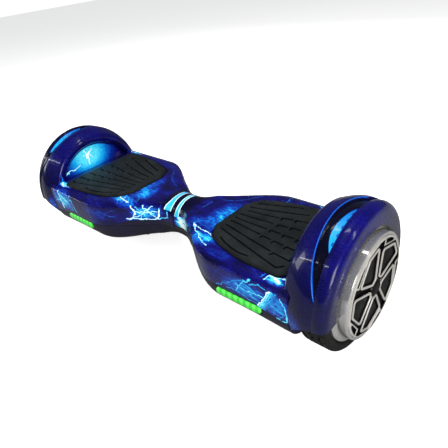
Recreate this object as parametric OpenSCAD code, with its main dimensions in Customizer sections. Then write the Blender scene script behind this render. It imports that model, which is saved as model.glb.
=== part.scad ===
// Two-wheeled self-balancing board: two half bodies that twist against each other on one tube,
// each with its own hub-motor wheel, tread mat, mat switches, light and wiring.
// The origin is on the ground under the middle of the pivot. +X runs along the axles to the
// right half, -Y is the front with the lights, +Z is up. Right-half pieces are drawn at +X,
// and the left half is their mirror image.

/* [Overall] */
// Distance between the outer faces of the two wheels
span = 584; // [584:1:588]
// Diameter of the fender arches
fender_d = 186; // [186:0.5:188]
// Diameter of the solid tyres
tyre_d = 165; // [163:0.5:165]

/* [Body] */
// Front-to-back size of each half at the mats
body_w = 176; // [174:1:178]
// Height of the deck around the mats
deck_z = 109.5; // [109:0.5:110.5]
// Height of the flat underside above the ground
bottom_z = 35; // [33:1:36]
// Diameter of the round neck between the halves
neck_d = 61; // [60:0.5:62]
// Wall thickness of the shells
shell_t = 3; // [2.5:0.5:3]
// Height of the line where the upper and lower shells meet
split_z = 72; // [71:1:74]

/* [Pivot] */
// Outer diameter of the pivot tube
tube_d = 30; // [29:0.5:30]
// Twist of one half against the other, each way
twist_deg = 12; // [8:1:12]

/* [Mats] */
// Thickness of the rubber mats
mat_t = 5.5; // [5:0.5:5.5]
// How far a mat goes down under a foot
mat_travel = 1.5; // [1:0.1:1.6]

/* [Motor] */
// Diameter of the axle
axle_d = 16; // [15:0.5:16]
// Teeth on the stator
stator_teeth = 27; // [24:3:27]
// Magnets round the rotor
magnet_count = 30; // [28:2:30]

/* [Hidden] */
$fn = 72;

axle_z = tyre_d / 2;
axle_r = axle_d / 2;
tube_r = tube_d / 2;
fit = 0.04;                 // radial clearance of a close fit
neck_gap = 1.2;             // from the middle plane to each shell's neck end
neck_flank = 29;            // half width of the body's own shape at the neck
neck_floor = 53;            // height of the underside at the neck
widen_x = 6;                // where the body starts to widen
drop_x = 18;                // where its underside starts to drop
full_x = 128;               // where it reaches its full width and depth
wall_x = 235.5;             // wheel side of the wall between body and wheel
split_drop = 6;             // fall of the split line towards the wheel
split_gap = 0.2;            // half the gap between the two shells
beyond = 220;               // reaches past every side of the shells
shoulder = 0.19;            // width of the rolled shoulder, as a share of the half width
ridge_drop = 5.5;           // from the deck down to the ridge
belly = 0.66;               // flat underside's half width, as a share of the half width
// the fender's lower edge, from the wall outwards: [x, z]
fender_edge = [[wall_x, 56], [248, 69], [261, 77], [300, 79]];
crease_r = fender_d / 2;    // the fender's crease, its largest radius
arch_r = 66;                // opening in the fender's outer face
arch_x = 280.5;             // outer face of the fender
panel_x = 233;              // half-moon panel over the mat
tyre_in = 239.5;
tyre_out = 274.5;           // the tyre's seat ends here
tyre_side = 276.4;          // its bulging outer side
rim_r = 66;                 // seat of the tyre
flange_r = 69.5;            // rim flanges that hold the tyre
drum_r = 62.5;              // polished drum that stands out of the fender
drum_x = 288;
face_x = 290;               // face of the wheel cover
bearing_r = 16;
bearing_w = 9;
plate_z = 84;               // underside of the frame plate
plate_t = 4;
mat_z = deck_z - 2.2;       // underside of the mat
mat_floor = mat_z - mat_travel - 0.3;
lens_z = 65.2;              // height of the light's middle
lens_x = [137, 194];        // middles of its round ends
lens_r = 5;
socket_z = 56;              // height of the button and the charge socket
back_face = 87;             // faces of the button housing and the charge socket
button_x = 150;
charge_x = 201;

// ---- small tools ----

function mix(a, b, t) = a * (1 - t) + b * t;
function ramp(a, b, s) = let (t = max(0, min(1, (s - a) / (b - a)))) t * t * (3 - 2 * t);
function arc(x, y, r, from, to, n) =
    [for (i = [0 : n]) let (a = mix(from, to, i / n)) [x + r * cos(a), y + r * sin(a)]];

// Mirrors a right-half piece to the left half.
module left() {
    mirror([1, 0, 0]) children();
}

// Turns a shape built about +Z, so that it lies about +X at axle height.
module on_axle(x = 0) {
    translate([x, 0, axle_z]) rotate([0, 90, 0]) children();
}

// A solid of revolution about the axle: the outline's points are [x, radius].
module turned(outline, steps = 72) {
    translate([0, 0, axle_z]) rotate([0, 90, 0])
        rotate_extrude($fn = steps) polygon([for (p = outline) [p[1], p[0]]]);
}

module ring(x0, x1, r0, r1) {
    turned([[x0, r0], [x1, r0], [x1, r1], [x0, r1]]);
}

// A round cable of eight sides along a list of points.
function unit(v) = v / norm(v);
module cable(route, r) {
    n = len(route);
    way = [for (i = [0 : n - 1]) unit(route[min(i + 1, n - 1)] - route[max(i - 1, 0)])];
    rings = [for (i = [0 : n - 1])
        let (side = unit(cross(way[i], [0, 1, 0])), up = cross(side, way[i]))
        for (k = [0 : 7]) route[i] + r * (cos(45 * k) * side + sin(45 * k) * up)];
    sides = [for (i = [0 : n - 2], k = [0 : 7])
        [8 * i + k, 8 * i + (k + 1) % 8, 8 * i + 8 + (k + 1) % 8, 8 * i + 8 + k]];
    caps = [[for (k = [7 : -1 : 0]) k], [for (k = [0 : 7]) 8 * (n - 1) + k]];
    polyhedron(rings, concat(sides, caps), convexity = 6);
}

// ---- the body's outer shape ----

function half_width(s) = mix(neck_flank, body_w / 2, ramp(widen_x, full_x, s));
function floor_at(s) = mix(neck_floor, bottom_z, ramp(drop_x, full_x, s));
function split_at(s) = split_z - split_drop * ramp(170, 240, s);

// Half a cross-section at distance s from the pivot, set in by t, from the middle of the deck
// over the shoulder, the ridge and the flank to the middle of the underside: [y, z].
function flank(s, t) =
    let (full = half_width(s), w = full - t, top = deck_z - t, low = floor_at(s) + t,
         roll = shoulder * full, ridge = deck_z - ridge_drop - 0.4 * t, cut = split_at(s),
         flat = belly * full - 0.5 * t, power = 1.11)
    concat(
        [for (i = [0 : 2]) [(w - roll) * i / 2, top]],
        [for (i = [1 : 2]) [w - roll + (roll - 1.5) * i / 2,
                            top - (top - ridge - 1.2) * pow(i / 2, 1.6)]],
        [[w, ridge - 1.2], [w + 0.2, (ridge + cut) / 2]],
        [for (i = [0 : 5]) let (a = 18 * i)
            [flat + (w - 1.2 - flat) * pow(cos(a), power), cut - (cut - low) * pow(sin(a), power)]],
        [[0, low]]);

// The body's own shape turns into a round neck towards the pivot.
function necked(p, s, t) =
    let (m = ramp(3, 38, s), a = atan2(p[1] - axle_z, p[0]), r = neck_d / 2 - t)
    [mix(r * cos(a), p[0], m), mix(axle_z + r * sin(a), p[1], m)];

function body_ring(s, t) =
    let (half = [for (p = flank(s, t)) necked(p, s, t)], n = len(half))
    concat([for (p = half) [s, p[0], p[1]]],
           [for (i = [n - 2 : -1 : 1]) [s, -half[i][0], half[i][1]]]);

// A solid of the body's shape from x = from to x = to, set in by t.
module body_solid(from, to, t) {
    stations = concat([for (i = [0 : 10]) from + (full_x - from) * pow(i / 10, 1.15)],
                      [for (i = [1 : 2]) mix(full_x, to, i / 2)]);
    rings = [for (s = stations) body_ring(s, t)];
    m = len(rings[0]);
    n = len(rings);
    sides = [for (i = [0 : n - 2], k = [0 : m - 1], half = [0, 1])
        let (a = m * i + k, b = m * i + (k + 1) % m)
        half == 0 ? [a, b, b + m] : [a, b + m, a + m]];
    caps = [[for (k = [m - 1 : -1 : 0]) k], [for (k = [0 : m - 1]) m * (n - 1) + k]];
    polyhedron([for (r = rings) each r], concat(sides, caps), convexity = 8);
}

// Everything above or below the split between the two shells, as a slab along Y.
module split_slab(up) {
    gap = up ? split_gap : -split_gap;
    line = [for (s = [0 : 15 : 225]) [s, split_at(s) + gap]];
    tail = up ? concat([[wall_x, split_at(wall_x) + gap]], fender_edge, [[300, beyond], [0, beyond]])
              : [[wall_x + 1, split_at(wall_x) + gap], [wall_x + 1, 0], [0, 0]];
    translate([0, beyond, 0]) rotate([90, 0, 0]) linear_extrude(2 * beyond)
        polygon(concat(line, tail));
}

// ---- fender arch, round the axle ----

fender_outside = concat(
    [[panel_x, 64]],
    arc(233.5, 77, 9.3, 255, 118, 6),
    [[253.6, crease_r]],
    arc(260, crease_r + 0.6, 5.2, 215, 300, 3),
    arc(269.5, 81, 11, 118, 0, 5),
    [[arch_x, arch_r]]);
fender_inside = concat(
    [[arch_x - 2.8, arch_r]],
    arc(269.5, 81, 8.2, 0, 100, 3),
    [[260, 85.7], [250, 86.6], [238, 85.7]],
    arc(233.5, 77, 6.6, 118, 255, 4),
    [[wall_x, 69], [wall_x, 64]]);

module fender() {
    turned(concat(fender_outside, fender_inside), 44);
    intersection() {
        ring(panel_x, wall_x, 0, arch_r);
        translate([220, -80, deck_z - 8]) cube([30, 160, 60]);
    }
}

// ---- shells ----

post_places = [for (p = [[62, 36], [130, 72], [180, 72], [222, 68]], k = [-1, 1]) [p[0], k * p[1]]];
post_r = 5;
screw_seat = 50;            // the shell screws' heads sit under this height
head_r = 3.3;
head_h = 3;

module mat_outline(grow) {
    side = [[86, 30], [99, 52], [120, 61], [150, 68], [178, 71], [213, 71], [219, 64]];
    n = len(side);
    offset(r = 5 + grow) offset(delta = -5)
        polygon(concat(side, [for (i = [n - 1 : -1 : 0]) [side[i][0], -side[i][1]]]));
}

plunger_places = [[104, 0, 7], [152, 0, 7], [198, 38, 4], [198, -38, 4]];

module upper_shell() {
    color("mediumblue") difference() {
        intersection() {
            union() {
                difference() {
                    union() {
                        body_solid(neck_gap, wall_x, 0);
                        fender();
                    }
                    body_solid(-1, panel_x, shell_t);
                }
                intersection() {
                    body_solid(neck_gap, wall_x, 0);
                    union() {
                        translate([0, 0, mat_floor - 2]) linear_extrude(deck_z) mat_outline(3);
                        // screw posts, each with a rib to the shell's side
                        for (p = post_places)
                            hull() {
                                translate([p[0], p[1], split_z - 8])
                                    cylinder(r = post_r, h = 36, $fn = 16);
                                translate([p[0] - 1, p[1] + sign(p[1]) * 12, split_z + 6])
                                    cube([2, 2, 30]);
                            }
                    }
                }
            }
            split_slab(true);
        }
        translate([0, 0, mat_floor]) linear_extrude(20) mat_outline(0.8);
        for (p = plunger_places)
            translate([p[0], p[1], mat_floor - 5]) cylinder(r = p[2] + 0.5, h = 9, $fn = 24);
        for (p = post_places)
            translate([p[0], p[1], 60]) cylinder(r = 1.8, h = 26, $fn = 16);
        // way out for the axle
        on_axle(panel_x - 4) cylinder(r = 20, h = 10);
        translate([panel_x - 4, -20, 40]) cube([10, 40, axle_z - 40]);
    }
}

// Slot-shaped vents under the floor, in two rows.
module vents() {
    for (x = [130 : 15 : 190], k = [-1, 1])
        hull() for (y = [18, 40])
            translate([x, k * y, 20]) cylinder(r = 1.8, h = 30, $fn = 12);
}

module lower_shell(with_sockets) {
    color("dimgray") difference() {
        intersection() {
            body_solid(neck_gap, wall_x, 0);
            split_slab(false);
            union() {
                difference() {
                    body_solid(neck_gap, wall_x, 0);
                    body_solid(-1, panel_x, shell_t);
                }
                for (p = post_places)
                    translate([p[0], p[1], 20]) cylinder(r = post_r, h = 60, $fn = 16);
            }
        }
        for (p = post_places) {
            translate([p[0], p[1], 0]) cylinder(r = head_r + 0.5, h = screw_seat, $fn = 16);
            translate([p[0], p[1], 0]) cylinder(r = 1.9, h = 90, $fn = 16);
        }
        vents();
        translate([lens_x[0] - 5.5, -100, lens_z - lens_r - 0.4])
            cube([lens_x[1] - lens_x[0] + 11, 19, 2 * lens_r + 0.8]);
        if (with_sockets)
            for (x = [button_x, charge_x])
                backwards(x, 60) cylinder(d = flange_d + 0.6, h = 40);
    }
}

// ---- frame ----

module frame_plate() {
    side = [[26, 18], [50, 29], [68, 29.5], [84, 46], [104, 60], [226, 60]];
    n = len(side);
    translate([0, 0, plate_z]) linear_extrude(plate_t)
        polygon(concat(side, [for (i = [n - 1 : -1 : 0]) [side[i][0], -side[i][1]]]));
    for (k = [-1, 1]) translate([110, k * 58 - 2, plate_z]) cube([116, 4, 10]);
}

housing_r = 23;             // pivot housing
housing_end = 62;
saddle_x = 206;             // saddle under the axle
saddle_len = 22;
window = 28;                // cable windows in the plate, square or this wide
clamp_top = axle_z + 12.8;
gyro_posts = [[96, 18], [96, -18], [160, 18], [160, -18]];
clamp_places = [[211, 14], [211, -14], [223, 14], [223, -14]];

// Cast frame of one half: plate, pivot housing bored to bore_r, and saddle for the axle.
module frame(bore_r, pin_slot) {
    color("silver") difference() {
        union() {
            frame_plate();
            on_axle(2) cylinder(r = housing_r, h = housing_end - 2);
            translate([saddle_x, -32, 70]) cube([saddle_len, 64, plate_z + plate_t - 70]);
            for (p = gyro_posts) translate([p[0], p[1], plate_z]) cylinder(r = 3, h = 9);
        }
        on_axle(0) cylinder(r = bore_r, h = 64);
        on_axle(housing_end) cylinder(r = 21, h = 10);
        translate([housing_end, -window / 2, plate_z - 1]) cube([window, window, plate_t + 2]);
        translate([saddle_x - 20, -window / 2, plate_z - 1]) cube([20, window, plate_t + 2]);
        on_axle(200) cylinder(r = axle_r + fit, h = 32);
        translate([205, -20.2, axle_z]) cube([24, 40.4, 20]);
        for (p = clamp_places) translate([p[0], p[1], 72]) cylinder(r = 2.55, h = 20);
        if (pin_slot) translate([28.6, -8.8, axle_z + 14]) cube([6.8, 17.6, 14]);
    }
}

module axle_clamp() {
    color("gray") difference() {
        translate([saddle_x, -20, axle_z + 0.4]) cube([saddle_len, 40, clamp_top - axle_z - 0.4]);
        on_axle(200) cylinder(r = axle_r + fit, h = 32);
        for (p = clamp_places) translate([p[0], p[1], 72]) cylinder(r = 3, h = 30);
    }
}

module clamp_bolts() {
    color("dimgray") for (p = clamp_places) translate([p[0], p[1], 0]) difference() {
        union() {
            translate([0, 0, 73]) cylinder(r = 2.5, h = clamp_top - 73);
            translate([0, 0, clamp_top]) cylinder(r = 4.4, h = 4.5);
        }
        translate([0, 0, clamp_top + 2]) cylinder(r = 2.4, h = 4, $fn = 6);
    }
}

module shell_screws() {
    color("dimgray") for (p = post_places) translate([p[0], p[1], 0]) difference() {
        union() {
            translate([0, 0, screw_seat]) cylinder(r = 1.5, h = 32);
            translate([0, 0, screw_seat - head_h]) cylinder(r = head_r, h = head_h);
        }
        for (a = [0, 90]) rotate([0, 0, a])
            translate([-2.2, -0.5, screw_seat - head_h - 1]) cube([4.4, 1, 2.5]);
    }
}

// ---- mats and their switches ----

// The rubber slopes down to its edge, in bevel_steps steps.
bevel_steps = 4;
bevel_w = 5.6;              // width of the sloped edge
edge_t = 2.8;               // thickness left at the edge

module foot_mat() {
    step = (mat_t - edge_t) / bevel_steps;
    color("darkslategray") union() {
        translate([0, 0, mat_z]) linear_extrude(edge_t) mat_outline(0);
        for (i = [1 : bevel_steps])
            translate([0, 0, mat_z + 1]) linear_extrude(edge_t - 1 + i * step)
                mat_outline(-bevel_w * i / bevel_steps);
    }
}

switch_long = 7.5;          // plungers over the two switches
peg_long = 5;               // short pegs in the outer corners

module mat_plungers() {
    color("black") for (p = plunger_places) {
        long = p[2] > 5 ? switch_long : peg_long;
        translate([p[0], p[1], mat_z - long]) cylinder(r = p[2], h = long);
    }
}

pcb_t = 1.6;                // thickness of every circuit board

// Board on the frame's posts: two light-gate switches under the plungers, a chip and a plug.
module gyro_board() {
    face = plate_z + 9 + pcb_t;
    color("green") union() {
        difference() {
            translate([92, -22, face - pcb_t]) cube([72, 44, pcb_t]);
            for (p = gyro_posts) translate([p[0], p[1], 80]) cylinder(r = 1.5, h = 20);
        }
        for (x = [104, 152]) translate([x - 7, -5, face]) cube([14, 10, 3.2]);
        translate([122, -8, face]) cube([12, 12, 1.4]);
        translate([136, 10, face]) cube([16, 6, 4]);
    }
}

// ---- wheel ----

module tyre() {
    color("black") turned(concat(
        [[tyre_in + 2, rim_r], [tyre_in + 2, flange_r + 0.5], [tyre_in, flange_r + 2.5]],
        arc(tyre_in + 8, axle_z - 8, 8, 180, 90, 6),
        arc(tyre_side - 5, axle_z - 5, 5, 90, 0, 6),
        [[tyre_side, flange_r + 3], [tyre_out - 2, flange_r + 0.5], [tyre_out - 2, rim_r]]));
}

module rotor() {
    color("silver") turned(concat(
        [[tyre_in, rim_r - 4], [tyre_in, flange_r], [tyre_in + 1.8, flange_r],
         [tyre_in + 1.8, rim_r - 0.1], [tyre_out - 1.8, rim_r - 0.1],
         [tyre_out - 1.8, flange_r], [tyre_out + 1.4, flange_r], [tyre_out + 2.2, drum_r + 1]],
        arc(drum_x - 2, drum_r - 2, 2, 90, 0, 4),
        [[drum_x, 58.6], [tyre_out, 58.6], [tyre_out, rim_r - 4]]));
}

module magnets() {
    color("lightgray") for (i = [0 : magnet_count - 1])
        translate([0, 0, axle_z]) rotate([360 * i / magnet_count, 0, 0])
            translate([246, -5, 58.3]) cube([24, 10, 3]);
}

module stator() {
    color("slategray") difference() {
        union() {
            ring(247, 269, 30, 45);
            ring(252, 264, 4, 31);
            for (i = [0 : stator_teeth - 1])
                translate([0, 0, axle_z]) rotate([360 * i / stator_teeth, 0, 0]) {
                    translate([247.4, -2, 44]) cube([21.2, 4, 11]);
                    translate([247.8, -4.5, 54]) cube([20.4, 9, 2.8]);
                }
        }
        on_axle(240) cylinder(r = axle_r + fit, h = 40);
    }
}

module windings() {
    color("peru") for (i = [0 : stator_teeth - 1])
        translate([0, 0, axle_z]) rotate([360 * i / stator_teeth, 0, 0]) difference() {
            translate([244.6, -4.3, 45.8]) cube([26.8, 8.6, 7.8]);
            translate([246.9, -2.1, 40]) cube([22.2, 4.2, 20]);
        }
}

module inner_cover() {
    color("gray") {
        turned([[241.3, bearing_r + 0.02], [250.3, bearing_r + 0.02], [250.3, 21], [244, 23],
                [244, 61.8], [241.3, 61.8]]);
    }
}

module bearings() {
    color("lightsteelblue") for (x = [241.3, 268]) {
        ring(x, x + bearing_w, axle_r + fit, axle_r + 2.6);
        ring(x + 0.6, x + bearing_w - 0.6, axle_r + 2.6, bearing_r - 2.6);
        ring(x, x + bearing_w, bearing_r - 2.6, bearing_r);
    }
}

// One of the five dark openings of the wheel face, with its point towards the centre.
module cover_opening(grow) {
    offset(delta = grow) polygon([[15, 0], [27, -10], [50, -17], [54, 0], [50, 17], [27, 10]]);
}

module wheel_cover() {
    color("gainsboro") difference() {
        turned([[268, bearing_r + 0.02], [277.2, bearing_r + 0.02], [277.2, 9], [283, 0],
                [face_x, 0], [face_x, 56], [face_x - 2.5, 58.5], [280, 58.5], [280, 54],
                [284, 52], [284, 24], [276, 21], [268, 21]]);
        for (i = [0 : 4]) on_axle(face_x - 2.6) rotate([0, 0, 72 * i])
            linear_extrude(5) cover_opening(0);
        on_axle(face_x - 2) cylinder(r = 9, h = 5);
    }
}

module cover_inserts() {
    color("black") {
        for (i = [0 : 4]) on_axle(face_x - 2.6) rotate([0, 0, 72 * i])
            linear_extrude(1.4) cover_opening(-0.1);
        turned([[face_x - 2, 0], [face_x - 2, 8.9], [face_x + 1, 8.9], [span / 2, 7], [span / 2, 0]]);
    }
}

module axle() {
    color("silver") difference() {
        union() {
            on_axle(205) cylinder(r = axle_r, h = 72.4);
            on_axle(231) cylinder(r = axle_r + 1.6, h = 9.8);
        }
        on_axle(204) cylinder(r = 3, h = 44);
    }
}

// ---- lights ----

module light_lens() {
    color("limegreen") translate([0, -84, lens_z]) rotate([90, 0, 0])
        linear_extrude(4.4) hull() for (x = lens_x) translate([x, 0]) circle(r = lens_r);
}

// A strip of six lamps behind the lens.
module light_board() {
    color("green") union() {
        translate([138, -81.4, lens_z - 4]) cube([56, 1.4, 8]);
        for (x = [143 : 9 : 188]) translate([x, -82.8, lens_z - 1.5]) cube([4, 1.6, 3]);
    }
}

// ---- pivot ----

module pivot_tube() {
    color("silver") difference() {
        on_axle(-60) cylinder(r = tube_r, h = 126);
        on_axle(-61) cylinder(r = tube_r - 3, h = 128);
        ring(62.4, 64.6, tube_r - 1, tube_r + 2);
        translate([32, 0, axle_z]) cylinder(r = 3 + fit, h = 30);
    }
}

module pivot_bushes() {
    color("goldenrod") for (x = [2.2, 44]) ring(x, x + 16, tube_r + fit, tube_r + 2.46);
}

module retaining_ring() {
    color("dimgray") difference() {
        ring(62.5, 64.5, tube_r - 0.94, tube_r + 3.5);
        translate([62, -2, axle_z]) cube([3, 4, 30]);
    }
}

module limit_pin() {
    color("dimgray") translate([32, 0, axle_z + tube_r - 4]) cylinder(r = 3, h = 12);
}

module neck_seal() {
    color("black") turned([[-8, housing_r + 0.05], [0.9, housing_r + 0.05],
                           [0.9, neck_d / 2 - 0.6], [-1, neck_d / 2 - 0.6],
                           [-1, housing_r + 1.4], [-8, housing_r + 1.4]]);
}

// ---- wiring, boards and battery ----

module cross_cable() {
    color("black") on_axle(-66) cylinder(r = 5, h = 144);
}

left_route = [[204.8, 0, axle_z], [200, 0, axle_z + 0.6], [194, 4, 87], [187, 12, 90.8],
              [176, 28, 90.4], [92, 28, 90.4], [86, 20, 90.4], [82, 13, 90.2], [77, 4, 87],
              [72, 0, axle_z + 0.4], [66.3, 0, axle_z]];
right_route = [[204.8, 0, axle_z], [199, 0, 81], [191, 0, 74], [185.5, 0, 66.5],
               [184, 0, 62], [184, 0, 58.3]];
harness_route = [[78.3, 0, axle_z], [84, 0, axle_z], [91, 0, 77.5], [96, 0, 68],
                 [100, 0, 60.5], [105, 0, 57.6], [111.6, 0, 57.6]];

module left_motor_cable() {
    color("black") left() cable(left_route, 2);
}

module right_motor_cable() {
    color("black") cable(right_route, 2);
}

module signal_harness() {
    color("black") cable(harness_route, 3);
}

board_z = 53.6;             // top of the main board
sink_z = board_z + 1.4;     // underside of the heat sink
sink_t = 4;
sink_h = 22;                // its height with the fins

module main_board() {
    color("darkgreen") union() {
        difference() {
            translate([112, -56, board_z - pcb_t]) cube([84, 112, pcb_t]);
            for (x = [117, 191], y = [-50, 50])
                translate([x, y, board_z - 3]) cylinder(r = 1.6, h = 6);
        }
        // plugs of the harness and of the motor, switching stages, smoothing capacitors
        translate([112, -8, board_z]) cube([9, 16, 7.4]);
        translate([178, -9, board_z]) cube([11, 18, 4.4]);
        for (y = [-46, 38]) translate([150, y, board_z]) cube([30, 8, 5]);
        for (y = [-38, 38], x = [128, 142]) translate([x, y, board_z]) cylinder(r = 5, h = 20);
    }
}

module heat_sink() {
    color("silver") union() {
        translate([124, -28, sink_z]) cube([50, 56, sink_t]);
        for (y = [-28 : 9 : 26]) translate([124, y, sink_z]) cube([50, 2, sink_h]);
    }
}

battery_z = 44;             // underside of the battery
battery_size = [92, 124, 36];
strap_t = 1.8;
strap_w = 16;

module battery_pack() {
    color("royalblue") translate([110, 0, battery_z]) linear_extrude(battery_size[2])
        offset(r = 6) offset(delta = -6)
            translate([0, -battery_size[1] / 2]) square([battery_size[0], battery_size[1]]);
}

// A band right round the battery, 0.15 mm off it.
module battery_strap() {
    inner = [strap_w + 2, battery_size[1] + 0.3, battery_size[2] + 0.3];
    color("black") translate([148, 0, battery_z + battery_size[2] / 2]) difference() {
        translate([strap_w / 2, 0, 0])
            cube([strap_w, inner[1] + 2 * strap_t, inner[2] + 2 * strap_t], center = true);
        translate([strap_w / 2, 0, 0]) cube(inner, center = true);
    }
}

// ---- button and charge socket, in the back of the right half ----

// Places a shape built along +Z so that it points out of the back, from y onwards.
module backwards(x, y) {
    translate([x, y, socket_z]) rotate([-90, 0, 0]) children();
}

flange_d = 22;              // face of the button housing and of the charge socket
hub_deep = 11;              // depth of that face

module button_housing() {
    color("black") difference() {
        union() {
            backwards(button_x, back_face - 21) cylinder(r = 9.5, h = 11);
            backwards(button_x, back_face - hub_deep) cylinder(d = flange_d, h = hub_deep);
        }
        backwards(button_x, back_face - 10) cylinder(r = 6.1, h = 20);
        backwards(button_x, back_face - 14) cylinder(r = 3.1, h = 6);
    }
}

module power_button() {
    color("crimson") union() {
        backwards(button_x, back_face - 8) cylinder(r = 6.04, h = 7.6);
        backwards(button_x, back_face - 12) cylinder(r = 3.04, h = 5);
    }
}

plug_r = 6.3;               // bore for the charger's plug
plug_depth = 5;

// The socket's three pins, or the holes for them.
module pins(r, long) {
    for (a = [90, 210, 330])
        backwards(charge_x + 3 * cos(a), back_face - 20) translate([0, 3 * sin(a), 0])
            cylinder(r = r, h = long);
}

module charge_socket() {
    color("silver") difference() {
        union() {
            backwards(charge_x, back_face - 19) cylinder(r = 9, h = 9);
            backwards(charge_x, back_face - hub_deep) cylinder(d = flange_d, h = hub_deep);
        }
        backwards(charge_x, back_face - plug_depth) cylinder(r = plug_r, h = 20);
        backwards(charge_x, back_face - 13) cylinder(r = plug_r - 0.8, h = 9);
        pins(0.8, 10);
    }
}

module charge_pins() {
    color("gold") pins(0.76, 14);
}

module charge_cap() {
    color("black") union() {
        backwards(charge_x, back_face + 0.1) cylinder(r = 10.6, h = 1.8);
        translate([charge_x - 5, back_face + 0.1, socket_z + 8]) cube([10, 1.8, 4.6]);
        translate([charge_x - 5, back_face + 1, socket_z + 12.6]) rotate([0, 90, 0])
            cylinder(r = 0.9, h = 10);
    }
}

left() frame(tube_r + fit, false);  // left_frame
left() upper_shell();  // left_upper_shell
left() lower_shell(false);  // left_lower_shell
left() foot_mat();  // left_foot_mat
left() mat_plungers();  // left_mat_plungers
left() gyro_board();  // left_gyro_board
left() axle();  // left_axle
left() stator();  // left_stator
left() windings();  // left_windings
left() rotor();  // left_rotor
left() magnets();  // left_magnets
left() wheel_cover();  // left_wheel_cover
left() cover_inserts();  // left_cover_inserts
left() inner_cover();  // left_inner_cover
left() bearings();  // left_bearings
left() tyre();  // left_tyre
left() light_lens();  // left_light_lens
left() light_board();  // left_light_board
left() axle_clamp();  // left_axle_clamp
left() clamp_bolts();  // left_clamp_bolts
left() shell_screws();  // left_shell_screws
left_motor_cable();
frame(tube_r + 2.5, true);  // right_frame
upper_shell();  // right_upper_shell
lower_shell(true);  // right_lower_shell
foot_mat();  // right_foot_mat
mat_plungers();  // right_mat_plungers
gyro_board();  // right_gyro_board
axle();  // right_axle
stator();  // right_stator
windings();  // right_windings
rotor();  // right_rotor
magnets();  // right_magnets
wheel_cover();  // right_wheel_cover
cover_inserts();  // right_cover_inserts
inner_cover();  // right_inner_cover
bearings();  // right_bearings
tyre();  // right_tyre
light_lens();  // right_light_lens
light_board();  // right_light_board
axle_clamp();  // right_axle_clamp
clamp_bolts();  // right_clamp_bolts
shell_screws();  // right_shell_screws
right_motor_cable();
pivot_tube();
pivot_bushes();
retaining_ring();
limit_pin();
cross_cable();
neck_seal();
signal_harness();
main_board();
heat_sink();
left() battery_pack();
left() battery_strap();
power_button();
button_housing();
charge_socket();
charge_pins();
charge_cap();
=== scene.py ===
import math

import bmesh
import bpy
from mathutils import Matrix, Vector


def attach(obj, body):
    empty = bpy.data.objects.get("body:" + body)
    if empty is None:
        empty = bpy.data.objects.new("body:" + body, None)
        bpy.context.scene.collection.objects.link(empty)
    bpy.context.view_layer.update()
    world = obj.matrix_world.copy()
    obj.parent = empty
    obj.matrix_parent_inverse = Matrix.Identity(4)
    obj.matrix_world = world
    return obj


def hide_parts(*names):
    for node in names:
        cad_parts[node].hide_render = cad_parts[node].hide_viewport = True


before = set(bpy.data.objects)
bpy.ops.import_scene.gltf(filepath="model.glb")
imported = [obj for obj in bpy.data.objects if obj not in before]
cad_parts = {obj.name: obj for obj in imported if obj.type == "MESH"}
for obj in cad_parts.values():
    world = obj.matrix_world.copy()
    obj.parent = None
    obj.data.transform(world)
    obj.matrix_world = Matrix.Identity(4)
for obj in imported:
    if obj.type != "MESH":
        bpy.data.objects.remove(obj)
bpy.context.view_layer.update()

MM = 0.001
WELD = 1e-4                 # points closer than this, in millimetres, are one

# ---- the driving sizes of the object, in millimetres, as in the CAD ----
AXLE_Z = 82.5
DECK = 109.5
BOTTOM = 35.0
HALF_W = 88.0
NECK_R = 30.5
NECK_FLANK = 29.0
NECK_FLOOR = 53.0
NECK_GAP = 1.2
WIDEN_X, DROP_X, FULL_X = 6.0, 18.0, 128.0
WALL_X = 235.5
PANEL_X = 233.0
SHELL_T = 3.0
SPLIT_Z = 72.0
SPLIT_DROP = 6.0
SPLIT_GAP = 0.2
SHOULDER = 0.19
RIDGE_DROP = 5.5
BELLY = 0.66
FENDER_EDGE = [(235.5, 56), (243, 65.5), (252, 73), (261, 77), (270, 78.6), (300, 79)]
CREASE_R = 93.0
ARCH_R = 66.0
ARCH_X = 280.5
TYRE_IN, TYRE_MID, TYRE_OUT, TYRE_SIDE = 239.5, 257.0, 274.5, 276.4
RIM_R, FLANGE_R, DRUM_R = 66.0, 69.5, 62.5
DRUM_X, FACE_X = 288.0, 290.0
MAT_Z = DECK - 2.2
MAT_TOP = 112.8
MAT_FLOOR = MAT_Z - 1.8
LENS_Z = 65.2
LENS_FROM, LENS_TO = 137.0, 194.0       # centres of the lens's round ends
LIGHT_X, LIGHT_STEP = 142.75, 9.0       # the lights behind it
SOCKET_Z = 56.0
BUTTON_X, CHARGE_X = 150.0, 201.0
SCREW_SEAT = 50.0
MAT_HOLES = [(104, 0, 7), (152, 0, 7), (198, 38, 4), (198, -38, 4)]      # under the mat: (x, y, radius)
POSTS = [(x, k * y) for x, y in ((62, 36), (130, 72), (180, 72), (222, 68)) for k in (-1, 1)]


# ---- small tools ----

def mix(a, b, t):
    return a * (1 - t) + b * t


def ramp(a, b, s):
    t = max(0.0, min(1.0, (s - a) / (b - a)))
    return t * t * (3 - 2 * t)


def arc(x, y, r, start, stop, n):
    out = []
    for i in range(n + 1):
        a = math.radians(mix(start, stop, i / n))
        out.append((x + r * math.cos(a), y + r * math.sin(a)))
    return out


def bezier(p, q, r, n):
    return [tuple(mix(mix(p[k], q[k], t), mix(q[k], r[k], t), t) for k in (0, 1))
            for t in (i / n for i in range(n + 1))]


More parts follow.
